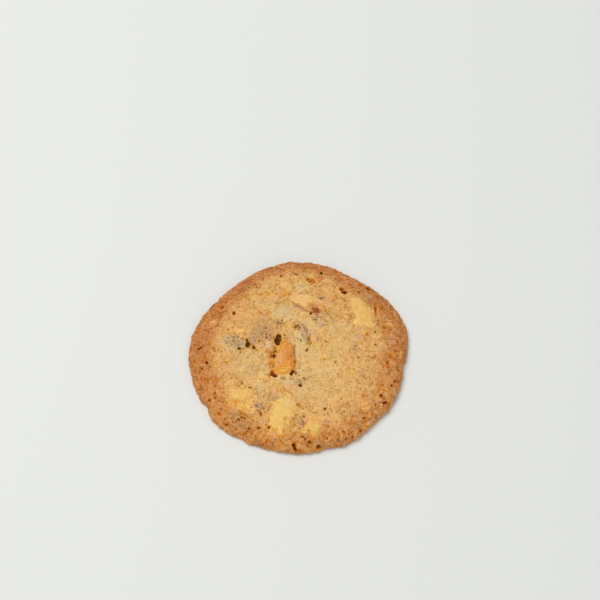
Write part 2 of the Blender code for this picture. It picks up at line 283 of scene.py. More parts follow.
# A pit's strength is its darkness, and it is as much deeper as it is wider and darker
PITS = marks(
    # beside the toasted almond
    (-6.2, 4.1, 0.88, 0.72, 0.96), (-5.9, 3.2, 0.62, 0.95, 0.7, 8), (-6.7, 2.9, 0.94, 0.8, 1.0),
    (-6.5, 2.0, 0.8, 0.85, 0.96, -8), (-7.2, 2.7, 0.48, 0.55, 1.0), (-7.4, 0.2, 0.66, 0.75, 0.46, -15),
    (-7.2, -0.8, 0.5, 0.62, 0.62), (-8.1, -1.2, 1.0, 0.66, 0.52, 10), (-7.7, -2.5, 0.46, 0.75, 0.88),
    (-8.6, -2.4, 0.6, 0.8, 0.58), (-9.6, -0.9, 0.8, 0.36, 0.36, -20), (-8.4, -5.4, 0.95, 0.5, 0.5, -15),
    (-8.0, -6.4, 0.46, 0.66, 0.58, -15), (-8.3, -8.5, 0.6, 0.8, 0.7, 15), (-8.0, -9.3, 0.8, 0.8, 0.84, 10),
    (-7.5, -10.0, 0.85, 0.66, 0.98, -25), (-8.8, -9.4, 0.5, 0.9, 0.52), (-2.2, -9.2, 0.66, 0.72, 0.98, -30),
    (-1.6, -8.4, 0.7, 0.62, 0.84, 30), (-0.9, -9.1, 0.36, 0.6, 0.66, 10), (-4.4, 4.7, 0.38, 0.48, 0.74, 10),
    (-4.0, 3.5, 0.9, 0.7, 0.24), (-1.1, 0.9, 0.28, 0.38, 0.5),
    # round the skinned almond
    (-16.1, 1.35, 0.86, 1.05, 0.98, 8), (-16.35, 2.8, 0.46, 0.75, 0.88, 12),
    (-15.5, 0.1, 0.6, 0.4, 0.5, -20), (-14.2, 0.25, 0.6, 0.85, 0.98, 8),
    (-13.3, -0.6, 0.6, 0.45, 0.44, -20), (-18.9, -0.1, 0.62, 0.58, 0.8), (-17.7, -0.2, 0.4, 0.3, 0.66),
    (-18.4, -1.5, 0.32, 0.34, 0.58), (-20.6, 2.4, 0.5, 0.6, 0.5), (-20.6, 4.2, 0.6, 0.3, 0.5),
    (-18.0, 3.3, 0.5, 0.26, 0.66, -10), (-19.2, 4.0, 0.36, 0.32, 0.62), (-21.0, 1.2, 0.22, 0.3, 0.42),
    (-10.5, 7.0, 0.34, 0.46, 0.84), (-10.2, 3.4, 0.34, 0.42, 0.9), (-10.2, 4.5, 0.3, 0.34, 0.88),
    (-12.5, 2.3, 0.36, 0.44, 0.74), (-9.1, 4.3, 0.38, 0.3, 0.72), (-6.7, 7.0, 0.34, 0.26, 0.8),
    (-6.2, 9.2, 0.42, 0.4, 0.46, 20), (-20.8, 13.9, 0.48, 0.78, 0.9), (-18.7, 14.2, 0.26, 0.26, 0.55),
    (-20.8, 10.3, 0.5, 0.42, 0.36), (-22.5, 7.3, 0.4, 0.5, 0.58), (-16.0, -3.5, 0.4, 0.26, 0.5),
    (-10.1, -1.3, 0.34, 0.3, 0.46), (-17.0, 5.2, 0.3, 0.7, 0.34),
    # right of the middle
    (3.5, 3.4, 0.32, 0.85, 0.74, -4), (3.7, 1.7, 0.4, 0.85, 0.52, -8), (2.7, -0.7, 0.46, 0.72, 0.84, 10),
    (0.8, 2.8, 0.36, 0.38, 0.8), (8.9, 2.2, 0.54, 0.5, 0.58, -35), (4.0, 12.8, 0.42, 0.66, 0.95),
    (4.6, 13.2, 0.4, 0.25, 0.85, 30), (5.3, 10.6, 1.0, 0.28, 0.66, -10), (8.7, 8.7, 0.3, 0.32, 0.52),
    (9.9, 8.2, 0.2, 0.4, 0.4), (-1.2, 6.8, 0.32, 0.3, 0.52), (11.4, 18.2, 0.56, 0.7, 0.42),
    (16.7, 11.9, 0.5, 0.6, 0.46), (17.5, 8.4, 0.34, 0.4, 0.44), (21.9, 5.3, 0.62, 0.72, 0.46),
    (24.6, 6.5, 0.32, 0.62, 0.64), (24.7, 1.4, 0.3, 0.75, 0.84, 8), (19.0, -3.5, 0.5, 0.34, 0.66, 25),
    (17.6, -3.9, 0.3, 0.28, 0.46), (21.8, -1.0, 0.42, 0.26, 0.44), (22.0, -6.9, 0.28, 0.46, 0.36),
    (18.8, 2.1, 0.24, 0.26, 0.42), (21.5, 0.5, 0.28, 0.3, 0.38), (11.8, -5.4, 0.28, 0.48, 0.58, 20),
    (8.2, -4.3, 0.45, 0.4, 0.4), (10.7, -14.6, 0.3, 0.34, 0.5), (18.2, -14.0, 0.3, 0.3, 0.44),
    # the back
    (14.9, 21.6, 0.94, 0.8, 1.0, 10), (14.1, 22.9, 0.8, 1.0, 0.66, 10), (22.9, 24.8, 0.84, 0.74, 0.82),
    (19.6, 22.4, 0.44, 0.64, 0.88, 12), (25.8, 21.4, 0.42, 0.6, 0.62), (7.5, 30.1, 0.56, 0.9, 0.98),
    (9.3, 29.5, 0.5, 0.45, 0.48), (2.9, 27.1, 0.38, 0.36, 0.74), (3.8, 26.2, 0.38, 0.36, 0.78),
    (4.6, 26.8, 0.34, 0.34, 0.72), (5.1, 25.7, 0.36, 0.32, 0.74), (4.0, 26.4, 1.7, 1.1, 0.4, -20),
    (-0.7, 29.2, 0.6, 0.36, 0.7, -15), (-1.6, 29.7, 0.4, 0.34, 0.6), (-5.8, 28.4, 0.38, 0.8, 0.66),
    (-13.6, 21.4, 0.4, 0.34, 0.36), (16.9, 25.8, 0.34, 0.34, 0.5), (14.8, 27.4, 0.38, 0.36, 0.52),
    (29.6, 12.6, 0.5, 0.38, 0.56), (30.1, 15.0, 0.38, 0.38, 0.5), (2.0, 31.2, 0.28, 0.6, 0.5),
    (27.3, 16.5, 0.45, 0.6, 0.52), (26.6, 15.9, 0.5, 0.38, 0.48), (30.4, 18.6, 0.34, 0.6, 0.6, 15),
    (28.9, 20.4, 0.4, 0.4, 0.56), (-11.3, 28.0, 0.42, 0.46, 0.56), (-13.7, 24.0, 0.36, 0.46, 0.62),
    (-10.6, 21.4, 0.44, 0.6, 0.42, -15), (-1.9, 24.8, 0.26, 0.3, 0.44), (-24.5, 16.7, 0.54, 0.62, 0.7),
    (-23.6, 18.7, 0.4, 0.5, 0.72), (-15.9, 19.0, 0.3, 0.34, 0.55), (7.3, 18.8, 0.46, 0.46, 0.72),
    (15.3, 15.7, 0.42, 0.7, 0.42), (16.3, 14.0, 0.42, 0.42, 0.42),
    # the left side and its rim
    (-31.6, 1.5, 0.52, 1.1, 0.94, -65), (-29.3, -4.4, 0.46, 0.72, 0.88, 15),
    (-30.8, -6.2, 0.36, 0.85, 0.86, 30), (-29.9, -2.4, 0.6, 1.0, 0.46), (-33.2, -2.8, 0.5, 0.9, 0.56, 15),
    (-28.8, -10.8, 0.6, 0.9, 0.48), (-25.7, -11.0, 0.7, 0.8, 0.4), (-33.4, 3.4, 0.7, 0.3, 0.6, -20),
    (-31.2, -13.0, 0.4, 0.3, 0.7), (-32.2, -9.4, 0.34, 0.6, 0.66, 15),
    (-26.3, -15.2, 0.34, 0.62, 0.88, -15), (-26.4, -16.6, 0.28, 0.6, 0.86, 10),
    (-23.4, -15.8, 0.3, 0.3, 0.52), (-23.0, -5.1, 0.52, 0.46, 0.36), (-28.6, 2.4, 0.45, 1.1, 0.44),
    (-29.6, -1.0, 0.3, 0.5, 0.5, 20), (-28.6, -17.3, 0.24, 0.26, 0.5), (-28.0, 8.4, 0.4, 0.6, 0.6),
    (-26.0, 9.5, 0.42, 0.85, 0.46), (-24.5, 13.9, 0.38, 0.5, 0.38), (-26.8, 12.2, 0.3, 0.5, 0.5),
    (-26.7, -0.5, 0.44, 0.8, 0.38),
    # the front left
    (-19.4, -11.1, 0.38, 0.42, 0.42), (-17.9, -12.8, 0.36, 0.38, 0.72), (-15.4, -14.6, 0.46, 0.4, 0.78),
    (-12.1, -11.6, 0.36, 0.42, 0.44), (-17.8, -24.4, 0.7, 0.32, 0.78, -25),
    (-16.7, -24.8, 0.5, 0.3, 0.72, -20), (-18.8, -25.0, 0.48, 0.42, 0.9), (-18.1, -23.3, 0.34, 0.3, 0.66),
    (-15.4, -27.9, 0.75, 0.36, 0.76, -10), (-16.0, -28.6, 0.45, 0.26, 0.66), (-12.4, -27.8, 0.7, 0.5, 0.72),
    (-9.2, -28.0, 0.54, 0.5, 0.82, -20), (-10.0, -27.2, 0.5, 0.4, 0.4), (-11.7, -23.6, 0.44, 0.6, 0.68, 20),
    (-12.1, -22.9, 0.42, 0.6, 0.5, 15), (-14.0, -25.6, 0.42, 0.34, 0.56), (-10.8, -22.0, 0.3, 0.3, 0.54),
    (-23.1, -24.0, 0.42, 0.38, 0.7), (-22.6, -25.6, 0.7, 0.34, 0.84, -10), (-28.8, -13.6, 0.3, 0.9, 0.46),
    (-22.6, -19.3, 0.4, 0.36, 0.36), (-17.2, -29.3, 0.32, 0.28, 0.86),
    # the front
    (0.1, -7.2, 0.34, 0.32, 0.76), (0.6, -14.0, 0.56, 0.5, 0.96), (-4.9, -11.2, 0.95, 0.6, 0.3, -15),
    (0.4, -12.2, 0.36, 0.3, 0.5), (3.1, -11.2, 0.2, 0.42, 0.58), (-6.5, -15.7, 0.36, 0.34, 0.36),
    (0.1, -20.9, 0.7, 0.85, 0.42, 25), (1.2, -21.9, 0.42, 0.36, 0.42), (-0.9, -24.3, 0.36, 0.42, 0.46),
    (-4.2, -25.4, 0.32, 0.75, 0.38, -25), (-4.6, -29.3, 0.46, 0.34, 0.46), (-1.1, -27.4, 0.3, 0.32, 0.48),
    (1.4, -27.2, 0.3, 0.36, 0.55), (3.2, -29.3, 0.44, 0.62, 0.44), (1.5, -31.0, 0.5, 0.34, 0.76),
    (2.1, -31.6, 0.54, 0.4, 0.7, 20), (3.5, -32.3, 0.66, 0.52, 0.78), (-1.5, -33.2, 0.62, 0.66, 0.98),
    (-1.0, -34.0, 0.7, 0.5, 0.96, -30), (0.3, -34.6, 1.2, 0.6, 0.52, -10), (17.0, -23.8, 0.4, 0.35, 0.36),
    (13.4, -18.5, 0.35, 0.3, 0.6), (11.0, -28.6, 0.32, 0.3, 0.5), (15.7, -28.1, 0.32, 0.3, 0.5),
    (19.7, -27.6, 0.6, 0.4, 0.66, 20), (8.6, -29.9, 0.3, 0.3, 0.5), (-2.6, -26.7, 0.3, 0.34, 0.44),
    (23.3, -22.5, 0.36, 0.46, 0.46), (24.2, -19.3, 0.44, 0.56, 0.62), (21.0, -16.7, 0.9, 0.28, 0.34),
    (6.4, -33.4, 0.85, 0.5, 0.8, 10), (8.3, -22.0, 0.54, 0.46, 0.8, 20), (9.1, -27.6, 0.42, 0.34, 0.56, 25),
    (8.6, -28.9, 0.36, 0.34, 0.52), (9.0, -31.1, 0.36, 0.34, 0.62), (-1.2, -29.9, 0.6, 0.26, 0.5),
    (-9.9, -31.8, 0.45, 0.8, 0.48, -15), (-5.6, -31.8, 0.3, 0.34, 0.54), (14.2, -29.1, 0.48, 0.3, 0.8),
    (15.8, -29.4, 0.34, 0.28, 0.64), (10.0, -33.0, 0.4, 0.3, 0.66), (20.6, -24.0, 0.5, 0.3, 0.78, 25),
    (5.0, -23.4, 0.6, 0.5, 0.34),
    # the right rim
    (31.8, 3.9, 0.3, 0.6, 0.86, 12), (29.9, 4.3, 0.28, 0.3, 0.66), (26.7, 4.3, 0.28, 0.34, 0.6),
    (27.6, 8.5, 0.72, 0.58, 0.58, 30), (25.8, 11.0, 0.5, 0.5, 0.52), (29.0, 1.1, 0.34, 0.36, 0.56),
    (31.7, -6.1, 0.34, 0.28, 0.7), (30.7, -10.2, 0.4, 0.3, 0.84), (31.6, -9.9, 0.5, 0.24, 0.62, 25),
    (29.6, -11.9, 0.42, 0.56, 0.84, -10), (26.1, -16.1, 0.56, 0.72, 0.74), (27.3, -18.1, 0.8, 0.5, 1.0, 30),
    (27.0, -20.9, 0.9, 0.44, 0.66, 35), (27.1, -16.8, 0.34, 0.4, 0.5), (28.3, -4.6, 0.42, 0.8, 0.6, -15),
    (28.6, -6.0, 0.7, 0.5, 0.42), (29.6, -2.0, 0.9, 0.8, 0.44), (24.6, -5.5, 0.28, 0.4, 0.36),
    (24.8, -12.5, 0.36, 0.34, 0.38), (25.5, -14.4, 0.34, 0.34, 0.4), (26.9, -14.2, 0.36, 0.32, 0.38),
)

# Where the pits are as red as in the rim
RUDDY = marks(
    (-8.0, -9.4, 2.4, 2.4, 0.8), (-1.7, -9.1, 1.8, 1.6, 0.9), (-8.4, -4.6, 1.8, 2.6, 0.6),
    (-7.2, 1.0, 1.4, 1.8, 0.25), (-7.4, 2.6, 0.7, 1.0, 0.6), (14.6, 22.0, 2.2, 2.4, 1.0),
    (4.0, 26.5, 2.6, 1.8, 0.8), (-20.8, 13.9, 1.0, 1.4, 1.0), (-28.6, 2.4, 1.0, 1.6, 1.0),
    (-26.0, 9.5, 0.8, 1.2, 0.8), (-11.8, -23.4, 1.4, 1.6, 0.4), (8.3, -22.0, 1.0, 1.0, 0.6),
    (0.4, -21.2, 2.0, 1.6, 0.15),
)

# Where they are less red, though the crust is browned
UNRUDDY = marks(
    (-18.0, -24.4, 3.2, 1.6, 0.6, -35), (3.4, -32.4, 3.0, 1.2, 0.4, -20), (7.6, 30.0, 1.4, 1.8, 0.7),
)

# Patches of dark specks: x, y, half width, half length, turn in degrees, how many
SPECKLED = (
    (-20.2, 1.9, 3.0, 2.8, 0, 16), (-11.0, 5.0, 5.0, 4.2, 20, 24), (-6.2, 8.9, 1.3, 1.6, 0, 9),
    (2.6, 4.2, 1.4, 3.4, 0, 14), (5.6, 10.9, 2.2, 1.4, 0, 12), (8.0, 9.6, 2.4, 1.6, 0, 9),
    (-0.4, -11.6, 2.6, 1.8, 0, 16), (-12.4, -21.0, 2.4, 1.5, 0, 13), (-17.4, -24.8, 3.8, 2.0, -25, 13),
    (1.4, -26.4, 1.4, 2.2, 0, 11), (-8.6, -18.0, 2.8, 1.4, 0, 9), (18.2, -0.8, 2.2, 3.6, 0, 13),
    (-13.8, -1.5, 3.4, 2.2, 0, 5), (7.3, 18.8, 1.2, 1.2, 0, 6), (20.0, -9.0, 4.0, 3.0, 0, 9),
)
SPECK_SEED = 8
SPECK_HALF_WIDTHS = (0.14, 0.28)
SPECK_LENGTHS = (0.9, 1.6)  # of its half width
SPECK_DARKNESS = (0.60, 0.40)  # the least, and how much more the darkest has

# Patches of smoother crumb
SMOOTH = marks(
    (-17.0, 12.0, 9.0, 7.0, 0.5), (-18.0, -6.0, 8.5, 7.0, 0.45), (6.0, -7.0, 8.0, 9.0, 0.35),
    (-10.6, 5.4, 4.2, 4.0, 0.6), (-20.6, 1.8, 3.4, 3.2, 0.6), (2.0, 18.6, 4.0, 1.8, 0.6, -10),
    (12.0, -18.0, 7.0, 6.0, 0.15), (-18.4, -24.4, 3.6, 2.2, 0.75, -35), (-20.5, -20.5, 4.0, 1.6, 0.5, -35),
    (-18.8, -17.2, 4.2, 2.9, 0.95, -15), (-4.6, 13.8, 6.0, 3.2, 0.65, -15), (-16.0, 6.0, 1.6, 3.0, 0.8),
    (-12.6, 3.8, 1.2, 1.6, 0.8), (-10.4, 9.9, 3.2, 0.9, 0.9), (5.0, -25.6, 2.6, 2.6, 0.85),
    (4.4, -28.8, 2.6, 2.2, 0.8), (-5.0, -24.0, 3.6, 6.0, 0.65, -25), (-31.0, 4.0, 3.6, 9.0, 0.6),
    (14.5, 5.0, 3.0, 2.4, 0.5), (26.4, -1.6, 1.6, 2.0, 0.6), (1.3, 24.0, 1.8, 2.4, 0.7),
    (0.9, 0.0, 1.5, 4.0, 0.5), (3.6, -21.0, 1.4, 1.6, 0.4), (-7.0, -13.5, 2.6, 1.2, 0.5),
    (-26.0, 5.0, 2.0, 3.5, 0.4), (9.0, -19.0, 2.4, 1.2, 0.4), (28.5, -10.7, 1.3, 1.1, 0.7),
    (-6.4, -29.5, 2.6, 1.2, 0.8),
)

# Crust lying over the almonds, besides their edges
CRUSTED = marks(
    (-2.4, -26.6, 2.2, 3.8, 1.0, -25), (-5.2, -31.0, 3.4, 1.1, 0.8, 10), (-1.0, -20.6, 0.9, 2.0, 0.35, -20),
    (16.2, 15.0, 0.6, 5.0, 0.6, -8), (21.0, 7.6, 3.6, 0.9, 0.8), (2.8, -30.4, 1.6, 1.0, 0.6, -30),
    (7.4, -27.5, 0.9, 3.0, 0.7), (4.6, -23.2, 2.6, 0.9, 0.9), (-3.2, 17.8, 1.6, 0.9, 0.5, 20),
    (6.0, 18.8, 2.2, 0.6, 0.6, -35), (-3.6, 3.7, 2.0, 1.1, 1.0, -10), (-5.0, -10.1, 3.4, 0.9, 1.0, 5),
    (-0.7, -1.0, 0.5, 3.6, 0.6), (-8.6, -8.3, 0.6, 1.0, 0.6), (-1.9, -8.6, 1.0, 0.6, 0.7, 30),
)

# Dark specks seen one by one
SPECKS = marks(
    (-20.6, 3.5, 0.26, 0.34, 0.9), (-20.7, 2.8, 0.28, 0.32, 0.9), (-20.6, 2.2, 0.4, 0.44, 1.0),
    (-19.9, 1.2, 0.34, 0.3, 1.0), (-19.1, 3.8, 0.34, 0.3, 0.95), (-18.5, -1.8, 0.28, 0.3, 0.95),
    (-21.8, 2.4, 0.24, 0.26, 0.8), (-22.2, 3.9, 0.24, 0.24, 0.75), (-19.3, 2.3, 0.24, 0.28, 0.9),
    (-21.4, 0.9, 0.26, 0.24, 0.8), (-20.2, 0.3, 0.24, 0.24, 0.8), (-18.3, 1.2, 0.24, 0.3, 0.85),
    (-22.6, 1.6, 0.22, 0.22, 0.7), (-20.0, 4.6, 0.24, 0.22, 0.8), (-21.3, 4.4, 0.22, 0.22, 0.7),
    (-17.6, 3.4, 0.4, 0.22, 0.8, -10), (-18.3, -0.9, 0.24, 0.22, 0.8), (-19.7, -0.9, 0.22, 0.22, 0.7),
    (-6.2, 9.4, 0.38, 0.34, 1.0), (-5.3, 10.2, 0.34, 0.32, 0.95), (-6.6, 8.5, 0.28, 0.3, 0.9),
    (-0.4, 15.7, 0.28, 0.28, 0.95), (1.9, 14.1, 0.3, 0.28, 0.95), (5.0, 11.0, 0.3, 0.28, 0.9),
    (5.5, 12.5, 0.4, 0.34, 0.9), (7.3, 18.7, 0.38, 0.36, 0.95), (6.9, 18.2, 0.24, 0.24, 0.8),
    (-11.0, 6.9, 0.28, 0.34, 0.95), (-10.2, 4.6, 0.22, 0.26, 1.0), (-10.3, 3.3, 0.3, 0.32, 1.0),
    (-9.3, 4.1, 0.22, 0.22, 0.9), (-8.4, 4.4, 0.22, 0.2, 0.9), (-13.6, 6.6, 0.24, 0.24, 0.85),
    (-12.4, 8.0, 0.22, 0.24, 0.85), (-9.2, 6.2, 0.24, 0.24, 0.85), (-11.9, 4.6, 0.22, 0.22, 0.85),
    (-12.6, 2.2, 0.28, 0.34, 0.95), (-13.8, 2.4, 0.22, 0.26, 0.85), (-11.4, 2.4, 0.22, 0.24, 0.85),
    (-14.0, 4.6, 0.2, 0.22, 0.75), (-11.6, 0.4, 0.24, 0.2, 0.8), (-8.1, 6.9, 0.24, 0.22, 0.85),
    (-13.2, -20.9, 0.42, 0.42, 1.0), (-12.4, -21.4, 0.24, 0.26, 0.85), (-10.9, -21.9, 0.34, 0.32, 0.95),
    (-13.9, -20.3, 0.22, 0.24, 0.8), (-11.7, -20.7, 0.22, 0.22, 0.8), (0.3, -12.2, 0.26, 0.34, 0.95),
    (-0.4, -11.5, 0.22, 0.26, 0.9), (-0.8, -12.6, 0.24, 0.24, 0.85), (-0.3, -8.9, 0.22, 0.26, 0.8),
    (0.9, -13.2, 0.24, 0.26, 0.9), (1.3, -26.2, 0.3, 0.36, 0.95), (1.8, -27.2, 0.24, 0.26, 0.85),
    (0.8, -25.3, 0.22, 0.24, 0.8), (-6.9, -18.2, 0.24, 0.26, 0.75), (-3.4, -3.6, 0.22, 0.3, 0.7),
    (-3.3, -4.6, 0.26, 0.26, 0.7), (-1.2, -5.2, 0.26, 0.3, 0.85), (-6.3, -5.6, 0.2, 0.36, 0.6),
    (-2.3, -3.2, 0.2, 0.4, 0.55), (-1.7, 0.3, 0.24, 0.34, 0.6), (4.6, 14.4, 0.3, 0.34, 0.7),
    (5.7, 14.9, 0.26, 0.3, 0.6), (6.5, 14.3, 0.34, 0.3, 0.8), (5.0, 13.5, 0.32, 0.3, 0.8),
    (6.7, 13.3, 0.28, 0.3, 0.75), (4.3, 15.6, 0.24, 0.26, 0.45), (5.7, 13.9, 0.26, 0.3, 0.6),
    (-0.9, 7.4, 0.24, 0.26, 0.6), (0.2, 7.2, 0.22, 0.3, 0.6), (-1.7, 17.0, 0.3, 0.26, 0.8),
    (-0.9, 16.3, 0.26, 0.24, 0.75), (0.6, 15.1, 0.28, 0.26, 0.8), (1.2, 14.7, 0.24, 0.24, 0.75),
    (2.6, 13.6, 0.28, 0.26, 0.75), (6.2, 12.1, 0.26, 0.26, 0.8), (2.1, 6.6, 0.26, 0.34, 0.85),
    (2.6, 4.6, 0.24, 0.3, 0.85), (1.1, 4.6, 0.2, 0.24, 0.75), (1.2, 8.6, 0.34, 0.3, 0.95),
    (1.9, 7.6, 0.24, 0.5, 0.85, 30), (2.6, 6.4, 0.24, 0.55, 0.85, 10),
)

# Thin cracks: start x, y, bend x, y, end x, y, half width, darkness
CRACKS = (
    (25.2, 18.4, 25.0, 15.6, 24.9, 12.2, 0.46, 0.62),
    (7.8, 16.6, 8.7, 14.2, 9.4, 12.6, 0.28, 0.44),
    (7.8, 16.6, 9.6, 12.6, 12.2, 8.4, 0.2, 0.52),
    (-25.7, -21.6, -25.0, -22.2, -24.4, -22.7, 0.3, 0.62),
    (-19.2, -21.9, -17.2, -22.9, -14.2, -25.6, 0.28, 0.52),
    (14.2, -20.4, 14.9, -19.5, 15.7, -20.6, 0.22, 0.34),
    (14.2, -20.8, 14.9, -21.8, 15.7, -20.8, 0.22, 0.3),
    (-5.6, -14.4, -2.8, -16.0, -0.7, -18.4, 0.48, 0.24),
    (-13.3, -15.4, -12.9, -17.0, -11.9, -18.2, 0.22, 0.26),
    (-2.2, 17.0, 0.2, 15.4, 3.9, 13.4, 0.26, 0.28),
    (20.8, 19.2, 22.6, 18.0, 24.4, 15.8, 0.22, 0.32),
    (-9.0, -22.2, -9.3, -25.4, -8.8, -28.8, 0.2, 0.24),
    (0.9, 8.8, 2.4, 7.6, 3.0, 5.0, 0.24, 0.44),
    (23.2, -3.9, 24.0, -3.0, 25.2, -2.0, 0.32, 0.36),
    (-9.2, -8.6, -9.6, -10.6, -8.2, -11.6, 0.24, 0.36),
    (-16.0, 3.0, -15.4, 1.6, -14.2, 0.4, 0.24, 0.46),
    (-12.4, 9.9, -14.6, 7.6, -14.8, 4.2, 0.5, 0.2),
)

